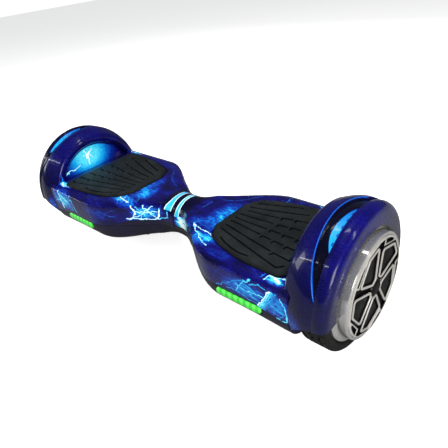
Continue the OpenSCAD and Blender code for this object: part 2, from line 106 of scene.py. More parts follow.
def solid(name, verts, faces, weld=False):
    """A closed mesh in millimetres, linked to the scene, with its faces pointing out."""
    mesh = bpy.data.meshes.new(name)
    mesh.from_pydata(verts, [], faces)
    obj = bpy.data.objects.new(name, mesh)
    bpy.context.scene.collection.objects.link(obj)
    bm = bmesh.new()
    bm.from_mesh(mesh)
    if weld:
        bmesh.ops.remove_doubles(bm, verts=bm.verts, dist=WELD)
    bmesh.ops.recalc_face_normals(bm, faces=bm.faces)
    bm.to_mesh(mesh)
    bm.free()
    return obj


def loft(name, rings, looped=False, weld=False):
    """Skins equal closed rings of points. The ends are capped, or joined to each other."""
    n, m = len(rings), len(rings[0])
    faces = []
    for i in range(n if looped else n - 1):
        j = (i + 1) % n
        for k in range(m):
            after = (k + 1) % m
            faces.append((i * m + k, i * m + after, j * m + after, j * m + k))
    if not looped:
        faces.append(tuple(range(m - 1, -1, -1)))
        faces.append(tuple(range((n - 1) * m, n * m)))
    return solid(name, [p for r in rings for p in r], faces, weld)


def wheel_point(x, r, a):
    """A point about the axle: a is in degrees, 0 to the front and 90 up."""
    t = math.radians(a)
    return (x, -r * math.cos(t), AXLE_Z + r * math.sin(t))


def turned(name, outline, steps):
    """A solid of revolution about the axle. outline is a list of (x, radius), or a function of the angle."""
    rings = []
    for i in range(steps):
        a = 360.0 * i / steps
        shape = outline(a) if callable(outline) else outline
        rings.append([wheel_point(x, r, a) for x, r in shape])
    return loft(name, rings, looped=True, weld=True)


def prism_z(name, outline, z0, z1):
    return loft(name, [[(x, y, z) for x, y in outline] for z in (z0, z1)])


def prism_y(name, outline, y0, y1):
    return loft(name, [[(x, y, z) for x, z in outline] for y in (y0, y1)])


def prism_x(name, outline, x0, x1):
    """outline is a list of (y, z from the axle)."""
    return loft(name, [[(x, y, AXLE_Z + z) for y, z in outline] for x in (x0, x1)])


def circle(x, y, r, n):
    return arc(x, y, r, 0, 360 * (n - 1) / n, n - 1)


def block(name, lo, hi):
    return prism_z(name, [(lo[0], lo[1]), (hi[0], lo[1]), (hi[0], hi[1]), (lo[0], hi[1])], lo[2], hi[2])


def boolean(target, tool, how):
    mod = target.modifiers.new("cut", "BOOLEAN")
    mod.operation = how
    mod.object = tool
    mod.solver = "MANIFOLD"
    graph = bpy.context.evaluated_depsgraph_get()
    mesh = bpy.data.meshes.new_from_object(target.evaluated_get(graph))
    target.modifiers.clear()
    target.data = mesh
    if len(mesh.polygons) == 0:
        raise RuntimeError(f"{target.name}: nothing left after {how} with {tool.name}")
    bpy.data.objects.remove(tool)
    return target


def cut(target, *tools):
    for tool in tools:
        boolean(target, tool, "DIFFERENCE")
    return target


def join(target, *tools):
    for tool in tools:
        boolean(target, tool, "UNION")
    return target


def merged(name, parts):
    """One object from several that don't touch."""
    bm = bmesh.new()
    for part in parts:
        bm.from_mesh(part.data)
    mesh = bpy.data.meshes.new(name)
    bm.to_mesh(mesh)
    bm.free()
    for part in parts:
        bpy.data.objects.remove(part)
    obj = bpy.data.objects.new(name, mesh)
    bpy.context.scene.collection.objects.link(obj)
    return obj


def mirrored(obj, name):
    """A copy of a right-half solid, mirrored to the left half."""
    mesh = obj.data.copy()
    mesh.transform(Matrix.Scale(-1, 4, (1, 0, 0)))
    mesh.flip_normals()
    copy = bpy.data.objects.new(name, mesh)
    bpy.context.scene.collection.objects.link(copy)
    return copy


def deliver(obj, name, body, material, node, angle):
    """Scales a finished solid to metres, shades it, and puts it in the place of a CAD node."""
    obj.name = name
    mesh = obj.data
    mesh.name = name
    mesh.transform(Matrix.Scale(MM, 4))
    mesh.shade_smooth()
    mesh.set_sharp_from_angle(angle=math.radians(angle))
    mesh.materials.clear()
    mesh.materials.append(material)
    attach(obj, body)
    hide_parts(node)
    return obj


# ---- the body's outer shape: the same curves as the CAD, drawn finer ----

def half_width(s):
    return mix(NECK_FLANK, HALF_W, ramp(WIDEN_X, FULL_X, s))


def floor_at(s):
    return mix(NECK_FLOOR, BOTTOM, ramp(DROP_X, FULL_X, s))


def split_at(s):
    return SPLIT_Z - SPLIT_DROP * ramp(170, 240, s)


def flank(s, t):
    full = half_width(s)
    w = full - t
    top = DECK - t
    low = floor_at(s) + t
    roll = SHOULDER * full
    ridge = DECK - RIDGE_DROP - 0.4 * t
    seam = split_at(s)
    flat = BELLY * full - 0.5 * t
    pts = [((w - roll) * i / 8, top) for i in range(8)]
    fall = top - ridge - 1.5
    for i in range(13):
        u = i / 13
        pts.append((w - roll + (roll - 1.6) * u, top - fall * u ** 1.8))
    pts += bezier((w - 1.6, ridge + 1.5), (w, ridge + 0.8), (w, ridge - 1.4), 6)
    for i in range(1, 10):
        v = i / 10
        pts.append((w + 0.2 * math.sin(math.pi * v) - 1.2 * v ** 3, mix(ridge - 1.4, seam, v)))
    for i in range(17):
        a = math.radians(90 * i / 16)
        side = max(0.0, math.cos(a)) ** 1.11
        pts.append((flat + (w - 1.2 - flat) * side, seam - (seam - low) * math.sin(a) ** 1.11))
    pts += [(flat * (1 - i / 5), low) for i in range(1, 6)]
    return pts


def body_ring(s, t):
    m = ramp(3, 38, s)
    r = NECK_R - t
    half = []
    for y, z in flank(s, t):
        a = math.atan2(z - AXLE_Z, y)
        half.append((mix(r * math.cos(a), y, m), mix(AXLE_Z + r * math.sin(a), z, m)))
    return [(s, y, z) for y, z in half] + [(s, -y, z) for y, z in half[-2:0:-1]]


def body_solid(name, start, stop, t, n=70):
    near = [start + (FULL_X - start) * (i / n) ** 1.1 for i in range(n + 1)]
    far = [mix(FULL_X, stop, i / 14) for i in range(1, 15)]
    return loft(name, [body_ring(s, t) for s in near + far])


def split_slab(up):
    gap = SPLIT_GAP if up else -SPLIT_GAP
    line = [(s, split_at(s) + gap) for s in range(0, 232, 5)]
    if up:
        line += [(WALL_X, split_at(WALL_X) + gap)] + FENDER_EDGE + [(300, 220), (0, 220)]
    else:
        line += [(WALL_X + 1, split_at(WALL_X) + gap), (WALL_X + 1, 0), (0, 0)]
    return prism_y("slab", line, -120, 120)


# ---- the fender arch: its crease leaves the wheel ring at the top and comes back to it low in front ----
CREASE_A = 78.0             # angle where the crease is furthest from the wheel
CREASE_X0 = 246.7           # and its place there
CREASE_BEND = 0.0055        # how fast it comes back to the ring in front of that
CREASE_BEND_BACK = 0.0098   # and behind it
CREASE_END = 265.5
LAMP_W = 8.8                # width of the lamp crescent
LAMP_X = 264.0              # its straight edge, at the ring
LAMP_A = 68.0               # angle of its middle
LAMP_FRONT, LAMP_BACK = 18.0, 29.0   # and how many degrees it reaches each way
INNER_CURL = (233.5, 77.0)  # centres of the fender's rounded inner and outer edges: (x, radius)
OUTER_CURL = (269.5, 81.0)
INNER_CURL_R, OUTER_CURL_R = 9.3, 11.0
CROWN_X = 253.6             # where the fender is widest
ARCH_LIP = 1.2
VALLEY_D = 3.6              # depth of the valley between the crease and the ring
LAMP_D = 1.1
PAINT_T = 0.25              # the fender's skin lies this far inside the CAD's round


def crease_x(a):
    bend = CREASE_BEND if a < CREASE_A else CREASE_BEND_BACK
    return min(CREASE_END, CREASE_X0 + bend * (a - CREASE_A) ** 2)


def crescent(a):
    """The lamp recess between the crease and the wheel ring: its two edges at angle a, or None."""
    u = (a - LAMP_A) / (LAMP_FRONT if a < LAMP_A else LAMP_BACK)
    if abs(u) >= 1:
        return None
    return LAMP_X - LAMP_W * (1 - u * u), LAMP_X + 0.2


def fender_profile(a):
    a = a if a <= 270 else a - 360
    xc = crease_x(a)
    deep = VALLEY_D * ramp(0, 9, CREASE_END - xc)
    lamp = crescent(a)

    def outer(x):
        if x < CROWN_X:
            return CREASE_R - PAINT_T - 7.8 * ((CROWN_X - x) / 24.5) ** 1.6
        return CREASE_R - PAINT_T - 0.009 * (x - CROWN_X) ** 2

    pts = arc(*INNER_CURL, INNER_CURL_R, 255, 118, 14)
    x0 = pts[-1][0]
    for i in range(1, 15):
        x = mix(x0, xc, i / 14)
        pts.append((x, outer(x)))
    for i in range(1, 31):
        u = i / 31
        x = mix(xc, CREASE_END + 0.1, u)
        dip = ramp(0, 0.1, u) * (1 - ramp(0.8, 1.0, u))
        r = outer(x) - deep * dip
        if lamp:
            r -= LAMP_D * ramp(0, 1.0, x - lamp[0]) * (1 - ramp(-0.8, 0, x - lamp[1]))
        pts.append((x, r))
    pts += arc(*OUTER_CURL, OUTER_CURL_R, 110, 8, 16)
    pts += [(ARCH_X - 0.05, 80.4), (ARCH_X, 79), (ARCH_X, 72), (ARCH_X, ARCH_R + ARCH_LIP)]
    pts += arc(ARCH_X - ARCH_LIP, ARCH_R + ARCH_LIP, ARCH_LIP, -15, -90, 4)
    pts += [(ARCH_X - 2.8, ARCH_R)]
    pts += arc(*OUTER_CURL, OUTER_CURL_R - 2.8, 0, 100, 8)
    pts += [(260, 85.7), (250, 86.6), (238, 85.7)]
    pts += arc(*INNER_CURL, INNER_CURL_R - 2.7, 118, 255, 8)
    pts += [(WALL_X, 69), (WALL_X, 64), (PANEL_X, 64)]
    return pts


def half_moon(name):
    rim = arc(0, 0, 66.5, -6, 186, 48)
    low = DECK - 8 - AXLE_Z
    rim = [(y, max(z, low)) for y, z in rim if z > low - 6]
    return prism_x(name, rim, PANEL_X, WALL_X)


# ---- mats ----

def inset(points, d):
    """Moves every edge of a convex counter-clockwise outline inwards by d."""
    out = []
    n = len(points)
    for i in range(n):
        a, b, c = (Vector(points[(i + k) % n]) for k in (-1, 0, 1))
        e, f = (b - a).normalized(), (c - b).normalized()
        p, q = Vector((-e.y, e.x)), Vector((-f.y, f.x))
        k = d / (1 + p.dot(q))
        out.append(tuple(b + (p + q) * k))
    return out


def rounded(points, r, n=5):
    """Rounds the corners of a convex counter-clockwise outline: arcs of radius r about the inset corners."""
    core = inset(points, r)
    out = []
    m = len(points)
    for i in range(m):
        a, b, c = (Vector(points[(i + k) % m]) for k in (-1, 0, 1))
        e, f = (b - a).normalized(), (c - b).normalized()
        start = math.degrees(math.atan2(-e.x, e.y))
        turn = math.degrees(math.atan2(e.cross(f), e.dot(f)))
        out += arc(core[i][0], core[i][1], r, start, start + turn, n)
    return out


MAT_SIDE = [(86, 30), (99, 52), (120, 61), (150, 68), (178, 71), (213, 71), (219, 64)]
MAT_CORNERS = [(x, -y) for x, y in MAT_SIDE] + MAT_SIDE[::-1]


def mat_outline(grow):
    return rounded(inset(MAT_CORNERS, -grow), 8 + grow)


# The tread of the right mat: long grooves that fan out from the neck side, then hooked dashes.
GROOVES = [
    [(104, 38), (125, 45), (145, 52), (162, 58)],
    [(100, 25), (130, 32), (160, 41), (178, 47)],
    [(184, 49.5), (192, 51)],
    [(102, 16), (130, 19), (149, 22.5)],
    [(154, 18.5), (152.6, 24), (167, 27)],
    [(172, 22.5), (170.6, 28), (186, 31)],
    [(99, 4.8), (125, 5.8), (150, 8)],
    [(158, 3), (157, 8.6), (171, 10)],
    [(176, 5.5), (175, 11), (188, 12.8)],
    [(193.5, 7.5), (192.8, 13), (202, 14)],
    [(98, -5), (125, -6.5), (151, -6.5)],
    [(157, -11.5), (156.5, -6.3), (171, -6.3)],
    [(176.5, -12), (176, -6.5), (190, -6.5)],
    [(195.5, -12.5), (195, -6.7), (206, -6.7)],
    [(99, -14), (125, -17), (150.5, -20)],
    [(154, -26.5), (155.3, -21), (168.5, -22.3)],
    [(172, -28), (173.3, -22.7), (187.5, -24)],
    [(191, -30), (192.6, -24.5), (208, -26)],
    [(100, -24.8), (140, -33), (181, -41)],
    [(184, -47.5), (187, -42), (209.5, -45), (209, -36)],
    [(100, -34.5), (140, -45.4), (180, -56), (204, -62), (210.5, -55)],
    [(112, -49.5), (125, -56), (140, -60.5), (153, -62.7), (166, -62.5)],
]
GROOVE_W = 2.5
GROOVE_D = 2.0


def ribbon(path, width):
    """The outline of a band along a path, mitred at its corners."""
    pts = [Vector(p) for p in path]
    left, right = [], []
    for i, p in enumerate(pts):
        a = (p - pts[i - 1]).normalized() if i else None
        b = (pts[i + 1] - p).normalized() if i + 1 < len(pts) else None
        a, b = a or b, b or a
        na, nb = Vector((-a.y, a.x)), Vector((-b.y, b.x))
        side = (na + nb) * (width / 2 / (1 + na.dot(nb)))
        left.append(tuple(p + side))
        right.append(tuple(p - side))
    return left + right[::-1]


def foot_mat():
    levels = [(0.6, MAT_Z), (0, MAT_Z + 0.6), (0, MAT_Z + 2.2), (0.25, MAT_Z + 2.75), (0.9, MAT_Z + 3.15),
              (2.2, MAT_Z + 3.9), (4.2, MAT_Z + 5.0), (5.0, MAT_TOP - 0.2), (5.6, MAT_TOP - 0.03),
              (6.2, MAT_TOP)]
    rings = []
    for d, z in levels:
        rings.append([(x, y, z) for x, y in mat_outline(-d)])
    mat = loft("mat", rings)
    tread = merged("tread", [prism_z("groove", ribbon(g, GROOVE_W), MAT_TOP - GROOVE_D, MAT_TOP + 3)
                             for g in GROOVES])
    return cut(mat, tread)


# ---- shells ----

def drill(name, x, y, r, z0, z1, n=24):
    return prism_z(name, circle(x, y, r, n), z0, z1)


def upper_shell():
    shell = body_solid("shell", NECK_GAP, WALL_X, 0)
    join(shell, turned("fender", fender_profile, 300), half_moon("panel"))
    cut(shell, body_solid("inside", -1, PANEL_X, SHELL_T, 36))
    seat = prism_z("seat", mat_outline(3), MAT_FLOOR - 2, DECK - 1)
    join(shell, seat)
    for x, y in POSTS:
        join(shell, drill("post", x, y, 5, SPLIT_Z - 8, MAT_FLOOR - 1))
    boolean(shell, split_slab(True), "INTERSECT")
    lip = [(0.9, MAT_FLOOR), (0.9, DECK - 0.9), (1.2, DECK - 0.25), (2.2, DECK + 0.4), (2.4, DECK + 20)]
    recess = loft("recess", [[(x, y, z) for x, y in mat_outline(d)] for d, z in lip])
    cut(shell, recess)
    for x, y, r in MAT_HOLES:
        cut(shell, drill("hole", x, y, r + 0.5, MAT_FLOOR - 5, MAT_FLOOR + 4))
    for x, y in POSTS:
        cut(shell, drill("hole", x, y, 1.8, 60, 86, 16))
    cut(shell, prism_x("way", circle(0, 0, 20, 48), PANEL_X - 4, PANEL_X + 6),
        block("way", (PANEL_X - 4, -20, 40), (PANEL_X + 6, 20, AXLE_Z)))
    return shell


def lower_shell(with_sockets):
    shell = body_solid("shell", NECK_GAP, WALL_X, 0)
    cut(shell, body_solid("inside", -1, PANEL_X, SHELL_T, 36))
    posts = body_solid("posts", NECK_GAP, WALL_X, 0, 30)
    boolean(posts, merged("post", [drill("post", x, y, 5, 20, 80) for x, y in POSTS]), "INTERSECT")
    join(shell, posts)
    boolean(shell, split_slab(False), "INTERSECT")
    for x, y in POSTS:
        cut(shell, drill("seat", x, y, 3.8, 0, SCREW_SEAT), drill("hole", x, y, 1.9, 0, 90, 16))
    vent = arc(0, 18, 1.8, 180, 360, 8) + arc(0, 40, 1.8, 0, 180, 8)
    for x in range(130, 191, 15):
        for k in (-1, 1):
            cut(shell, prism_z("vent", [(x + dx, k * y) for dx, y in vent], 20, 50))
    cut(shell, block("lamp", (LENS_FROM - 5.5, -100, LENS_Z - 5.4), (LENS_TO + 5.5, -81, LENS_Z + 5.4)))
    if with_sockets:
        for x in (BUTTON_X, CHARGE_X):
            cut(shell, prism_y("socket", circle(x, SOCKET_Z, 11.3, 48), 60, 100))
    return shell


# ---- wheel ----
TREAD_WAVES = 40
BAR_FROM = 6.5              # the cross bars of the tread start this far from its middle


def tread_depth(x, a):
    """How deep the tyre's tread is cut at x across and angle a round."""
    deep = 0.0
    for i, xt in enumerate((TYRE_MID - 9.5, TYRE_MID, TYRE_MID + 9.5)):
        wave = 1.3 * math.sin(math.radians(a * TREAD_WAVES + 180 * i))
        deep = max(deep, 2.4 * (1 - ramp(0.9, 1.5, abs(x - xt - wave))))
    for side in (-1, 1):
        off = (x - TYRE_MID) * side
        if off > BAR_FROM:
            pitch = 360 / TREAD_WAVES
            b = (a + side * 0.9 * off / 4 + (pitch / 2 if side > 0 else 0)) % pitch - pitch / 2
            wide = 0.62 + 0.03 * (off - BAR_FROM)
            bar = (1 - ramp(wide, wide + 0.3, abs(b))) * ramp(BAR_FROM, 8, off) * (1 - ramp(15.6, 16.4, off))
            deep = max(deep, 1.9 * bar)
    return deep


def tyre():
    r = AXLE_Z - 8
    face = arc(TYRE_IN + 8, r, 8, 180, 90, 16)
    face += [(mix(TYRE_IN + 8, TYRE_SIDE - 5, i / 36), AXLE_Z) for i in range(1, 36)]
    face += arc(TYRE_SIDE - 5, AXLE_Z - 5, 5, 90, 0, 12)
    inner = [(TYRE_SIDE, FLANGE_R + 3), (TYRE_OUT - 2, FLANGE_R + 0.5), (TYRE_OUT - 2, RIM_R),
             (TYRE_IN + 2, RIM_R), (TYRE_IN + 2, FLANGE_R + 0.5), (TYRE_IN, FLANGE_R + 2.5)]

    def profile(a):
        out = []
        for x, rr in face:
            d = tread_depth(x, a)
            up = (rr - r) / 8 if x < TYRE_MID else (rr - r - 3) / 5
            up = max(0.0, min(1.0, up))
            out.append((x - math.copysign(d * (1 - up), x - TYRE_MID) * 0.6, rr - d * up))
        return out + inner

    return turned("tyre", profile, 720)


def rotor():
    return turned("rotor", [
        (TYRE_IN, RIM_R - 4), (TYRE_IN, FLANGE_R - 0.6), (TYRE_IN + 0.6, FLANGE_R), (TYRE_IN + 1.8, FLANGE_R),
        (TYRE_IN + 1.8, RIM_R - 0.1), (TYRE_OUT - 1.8, RIM_R - 0.1), (TYRE_OUT - 1.8, FLANGE_R),
        (TYRE_OUT + 0.8, FLANGE_R), (TYRE_OUT + 1.4, FLANGE_R - 0.5), (TYRE_OUT + 1.7, FLANGE_R - 2.4),
        (TYRE_OUT + 2.4, DRUM_R + 1.4), (TYRE_OUT + 3.4, DRUM_R + 0.3), (TYRE_OUT + 4.6, DRUM_R)]
        + arc(DRUM_X - 1.6, DRUM_R - 1.6, 1.6, 90, 0, 6)
        + [(DRUM_X, 59.4), (DRUM_X - 0.6, 58.7), (TYRE_OUT, 58.6), (TYRE_OUT, RIM_R - 4)], 240)


# The wheel face: five petals, each a closed loop of spoke, with narrow windows between them and the rim.
PETALS = 5
PETAL = [(12, -20), (54, -30), (54, -5), (46, 32), (12, 25)]      # (radius, angle) of a petal's corners
PETAL_A0 = 46.0
RIM_IN = 56.6               # inner radius of the thin rim round the wheel face
FACE_R = 58.5
HUB_R = 10.6
FACE_T = 4.6
WEDGE_RIM = (45, 42, 39, 36, 33, 30.5)                            # angles of the two windows along the rim
CROWN_RIM = (28.5, 24, 19, 14, 9, 4)
CROWN_LOW = [(54.8, 3), (52.6, 8), (51.5, 13), (50.6, 20), (50.4, 27.5)]


def polar(r, a):
    return (r * math.cos(math.radians(a)), r * math.sin(math.radians(a)))


def petal_angle(k):
    return PETAL_A0 + 360 / PETALS * k


def petal(k, d, r):
    """Outline of petal k of the wheel face, set in by d, with its corners rounded."""
    pts = [polar(rr, petal_angle(k) + a) for rr, a in PETAL]
    return rounded(inset(pts, d), r)


def chamfered(name, outlines, xs):
    """A plate of the wheel face through equal outlines at growing x."""
    return loft(name, [[(x, y, AXLE_Z + z) for y, z in o] for o, x in zip(outlines, xs)])


def wheel_cover():
    x0, x1 = FACE_X - FACE_T, FACE_X
    face = turned("face", [(x0, HUB_R), (x0, FACE_R), (x1 - 1.3, FACE_R), (x1 - 0.5, FACE_R - 0.4),
                           (x1, FACE_R - 1.3), (x1, HUB_R + 0.8), (x1 - 0.3, HUB_R + 0.2),
                           (x1 - 1.0, HUB_R)], 200)
    for k in range(PETALS):
        cut(face, chamfered("gap", [petal(k, -2.5, 3), petal(k, -2.5, 3), petal(k, -3.3, 3.8)],
                            (x0 - 1, x1 - 0.7, x1 + 0.1)))
        a = petal_angle(k)
        wedge = [polar(14, a + 22)] + [polar(RIM_IN, a + v) for v in WEDGE_RIM[::-1]] + [polar(14, a + 54)]
        crown = [polar(r, a + v) for r, v in CROWN_LOW] + [polar(RIM_IN, a + v) for v in CROWN_RIM]
        for window in (wedge, crown):
            cut(face, chamfered("gap", [window, window], (x0 - 1, x1 + 0.1)))
    # the raised loop of each petal: (inset, x) round its section
    section = [(0, x0 + 0.2), (0, x1 - 0.9), (0.2, x1 - 0.3), (0.6, x1 + 0.25), (1.5, x1 + 0.5),
               (2.4, x1 + 0.25), (2.8, x1 - 0.3), (3.0, x1 - 0.9), (3.0, x0 + 0.2)]
    for k in range(PETALS):
        rings = [[(x, y, AXLE_Z + z) for y, z in petal(k, d, 5 - d)] for d, x in section]
        join(face, loft("band", rings, looped=True))
    back = turned("back", [(268, 16.02), (277.2, 16.02), (277.2, 12), (282.6, 12), (282.6, 58.4), (279.6, 58.4),
                           (279.6, 54), (281, 52), (281, 24), (276, 21), (268, 21)], 96)
    return merged("cover", [face, back])


def cover_inserts():
    x0 = FACE_X - 7.2
    disc = turned("disc", [(x0, 10.8), (x0, 58.3), (FACE_X - 4.7, 58.3), (FACE_X - 4.7, 10.8)], 120)
    for k in range(PETALS):
        levels = [petal(k, d, r) for d, r in ((3.7, 2.2), (3.7, 2.2), (4.5, 1.4), (5.3, 0.6))]
        join(disc, chamfered("pad", levels, (FACE_X - 6, FACE_X - 3.2, FACE_X - 2.4, FACE_X - 2.2)))
    cap = turned("cap", [(FACE_X - 6, 0), (FACE_X - 6, 10), (FACE_X - 1.2, 10), (FACE_X - 0.6, 9.6),
                         (FACE_X - 0.4, 8.6), (FACE_X + 0.6, 8.2), (FACE_X + 1.3, 7.4), (FACE_X + 1.6, 6.0),
                         (FACE_X + 1.9, 3.0), (FACE_X + 2.0, 0)], 96)
    return merged("inserts", [disc, cap])


def lens():
    def slot(r, y):
        ends = arc(LENS_TO, LENS_Z, r, -90, 90, 14) + arc(LENS_FROM, LENS_Z, r, 90, 270, 14)
        return [(x, y, z) for x, z in ends]
    return loft("lens", [slot(4.4, -84), slot(5.0, -84.4), slot(5.0, -86.9), slot(4.7, -87.6),
                         slot(4.0, -88.15), slot(2.6, -88.38)])


# ---- materials ----
TURN = 2 * math.pi


class Paint:
    """A material that is built node by node. Sockets and plain values may be mixed."""

    def __init__(self, name):
        self.material = bpy.data.materials.new(name)
        self.material.use_nodes = True
        self.tree = self.material.node_tree
        self.tree.nodes.clear()
        self.out = self.node("ShaderNodeOutputMaterial")
        self.skin = self.node("ShaderNodeBsdfPrincipled")
        self.tree.links.new(self.skin.outputs[0], self.out.inputs[0])
        where = self.node("ShaderNodeTexCoord").outputs["Object"]
        self.where = self.scaled(where, (1000, 1000, 1000))
        split = self.node("ShaderNodeSeparateXYZ")
        self.put(split.inputs[0], self.where)
        self.x, self.y, self.z = split.outputs

    def node(self, kind, **props):
        n = self.tree.nodes.new(kind)
        for key, value in props.items():
            setattr(n, key, value)
        return n

    def put(self, socket, value):
        if isinstance(value, bpy.types.NodeSocket):
            self.tree.links.new(value, socket)
        elif socket.type == "RGBA" and len(value) == 3:
            socket.default_value = (*value, 1)
        else:
            socket.default_value = value

    def math(self, op, *values):
        n = self.node("ShaderNodeMath", operation=op)
        for socket, value in zip(n.inputs, values):
            self.put(socket, value)
        return n.outputs[0]

    def vector(self, op, *values):
        n = self.node("ShaderNodeVectorMath", operation=op)
        for socket, value in zip(n.inputs, values):
            self.put(socket, value)
        return n.outputs["Value"] if op in ("LENGTH", "DOT_PRODUCT", "DISTANCE") else n.outputs[0]

    def combine(self, x, y, z):
        n = self.node("ShaderNodeCombineXYZ")
        for socket, value in zip(n.inputs, (x, y, z)):
            self.put(socket, value)
        return n.outputs[0]

    def step(self, value, lo, hi, a=0.0, b=1.0):
        n = self.node("ShaderNodeMapRange", interpolation_type="SMOOTHSTEP")
        for key, v in (("Value", value), ("From Min", lo), ("From Max", hi), ("To Min", a), ("To Max", b)):
            self.put(n.inputs[key], v)
        return n.outputs[0]

    def chain(self, op, values):
        out = values[0]
        for value in values[1:]:
            out = self.math(op, out, value)
        return out

    def plus(self, *values):
        return self.chain("ADD", values)

    def times(self, *values):
        return self.chain("MULTIPLY", values)

    def larger(self, *values):
        return self.chain("MAXIMUM", values)

    def minus(self, a, b):
        return self.math("SUBTRACT", a, b)

    def sine(self, value):
        return self.math("SINE", value)

    def positive(self, value):
        return self.math("ABSOLUTE", value)

    def scaled(self, vector, by):
        return self.vector("MULTIPLY", vector, by)

    def noise(self, vector, scale, detail=3.0, rough=0.55, warp=0.0):
        n = self.node("ShaderNodeTexNoise")
        self.put(n.inputs["Vector"], vector)
        for key, v in (("Scale", scale), ("Detail", detail), ("Roughness", rough), ("Distortion", warp)):
            n.inputs[key].default_value = v
        return n.outputs[0]

    def cells(self, vector, scale, feature="F1", jitter=1.0):
        n = self.node("ShaderNodeTexVoronoi", feature=feature)
        self.put(n.inputs["Vector"], vector)
        n.inputs["Scale"].default_value = scale
        n.inputs["Randomness"].default_value = jitter
        return n.outputs["Distance"]

    def waves(self, vector, scale, axis, warp):
        n = self.node("ShaderNodeTexWave", wave_type="BANDS", bands_direction=axis)
        self.put(n.inputs["Vector"], vector)
        n.inputs["Scale"].default_value = scale
        n.inputs["Distortion"].default_value = warp
        n.inputs["Detail Scale"].default_value = 1.5
        return n.outputs["Fac"]

    def ramp(self, fac, stops):
        n = self.node("ShaderNodeValToRGB")
        while len(n.color_ramp.elements) < len(stops):
            n.color_ramp.elements.new(0.5)
        for e, (pos, colour) in zip(n.color_ramp.elements, stops):
            e.position = pos
            e.color = (*colour, 1)
        self.put(n.inputs[0], fac)
        return n.outputs[0]

    def blend(self, fac, a, b):
        n = self.node("ShaderNodeMix", data_type="RGBA")
        self.put(n.inputs[0], fac)
        self.put(n.inputs[6], a)
        self.put(n.inputs[7], b)
        return n.outputs[2]

    def bump(self, height, depth, normal=None, strength=1.0):
        n = self.node("ShaderNodeBump")
        n.inputs["Strength"].default_value = strength
        n.inputs["Distance"].default_value = depth * MM
        self.put(n.inputs["Height"], height)
        if normal is not None:
            self.put(n.inputs["Normal"], normal)
        return n.outputs[0]

    def soft_edges(self, radius):
        n = self.node("ShaderNodeBevel", samples=4)
        n.inputs["Radius"].default_value = radius * MM
        return n.outputs[0]

    def set(self, **values):
        for key, value in values.items():
            self.put(self.skin.inputs[key.replace("_", " ")], value)

    def polar(self):
        """Distance from the axle, and the angle round it in degrees: 0 to the front, 90 up."""
        front = self.times(self.y, -1.0)
        up = self.minus(self.z, AXLE_Z)
        square = self.plus(self.times(front, front), self.times(up, up))
        radius = self.math("SQRT", square)
        angle = self.math("DEGREES", self.math("ARCTAN2", up, front))
        return radius, angle


def stroke_group():
    """Node group: how strongly a point is on the line from A to B, or the light so far where that is more."""
    g = bpy.data.node_groups.new("stroke", "ShaderNodeTree")
    for name in ("P", "A", "B"):
        g.interface.new_socket(name, in_out="INPUT", socket_type="NodeSocketVector")
    for name in ("Width", "Strength", "Light"):
        g.interface.new_socket(name, in_out="INPUT", socket_type="NodeSocketFloat")
    g.interface.new_socket("Light", in_out="OUTPUT", socket_type="NodeSocketFloat")
    i = g.nodes.new("NodeGroupInput")
    o = g.nodes.new("NodeGroupOutput")

    def op(kind, name, *sources):
        n = g.nodes.new(kind)
        n.operation = name
        for socket, source in zip(n.inputs, sources):
            if isinstance(source, bpy.types.NodeSocket):
                g.links.new(source, socket)
            else:
                socket.default_value = source
        return n.outputs["Value"] if name in ("DOT_PRODUCT", "LENGTH") else n.outputs[0]

    def fade(value, near, far, top):
        n = g.nodes.new("ShaderNodeMapRange")
        n.interpolation_type = "SMOOTHSTEP"
        g.links.new(value, n.inputs["Value"])
        for key, number in (("From Min", near), ("From Max", far), ("To Min", top), ("To Max", 0.0)):
            n.inputs[key].default_value = number
        return n.outputs[0]

    v, m = "ShaderNodeVectorMath", "ShaderNodeMath"
    pa = op(v, "SUBTRACT", i.outputs["P"], i.outputs["A"])
    ba = op(v, "SUBTRACT", i.outputs["B"], i.outputs["A"])
    t = op(m, "DIVIDE", op(v, "DOT_PRODUCT", pa, ba), op(v, "DOT_PRODUCT", ba, ba))
    t = op(m, "MINIMUM", op(m, "MAXIMUM", t, 0.0), 1.0)
    foot = g.nodes.new(v)
    foot.operation = "SCALE"
    g.links.new(ba, foot.inputs[0])
    g.links.new(t, foot.inputs["Scale"])
    away = op(v, "LENGTH", op(v, "SUBTRACT", pa, foot.outputs[0]))
    near = op(m, "DIVIDE", away, i.outputs["Width"])
    light = op(m, "MAXIMUM", fade(near, 0.25, 0.75, 1.0), fade(near, 0.0, 4.0, 0.45))
    light = op(m, "MULTIPLY", light, i.outputs["Strength"])
    g.links.new(op(m, "MAXIMUM", light, i.outputs["Light"]), o.inputs[0])
    return g


STROKE = stroke_group()
TINY = 1e-9                 # moves a pattern by next to nothing


def strokes(p, plane, lines):
    """The strongest of several drawn lines. Each is (points, width, strength) in the plane's two coordinates.

    The plane is moved by next to nothing after each line. That makes the renderer work the lines out in turn,
    so it never holds many of them at once.
    """
    light = 0.0
    for points, width, strength in lines:
        plane = p.vector("MULTIPLY_ADD", p.combine(light, 0.0, 0.0), (TINY, 0.0, 0.0), plane)
        for a, b in zip(points, points[1:]):
            n = p.node("ShaderNodeGroup", node_tree=STROKE)
            for socket, value in zip(n.inputs, (plane, (*a, 0), (*b, 0), width, strength, light)):
                p.put(socket, value)
            light = n.outputs[0]
    return light


def spot(p, centre, size, strength):
    """A soft patch of light: an ellipsoid that fades from its middle to its edge."""
    d = p.vector("LENGTH", p.vector("DIVIDE", p.vector("SUBTRACT", p.where, centre), size))
    return p.step(d, 0.15, 1.25, strength, 0.0)


def fan(first, last, n, width, strength, fade):
    """Lines that run between two guide lines, from the first to the last, each a little fainter."""
    out = []
    for i in range(n):
        t = i / (n - 1)
        path = [(mix(a[0], b[0], t), mix(a[1], b[1], t)) for a, b in zip(first, last)]
        out.append((path, width, mix(strength, fade, t)))
    return out


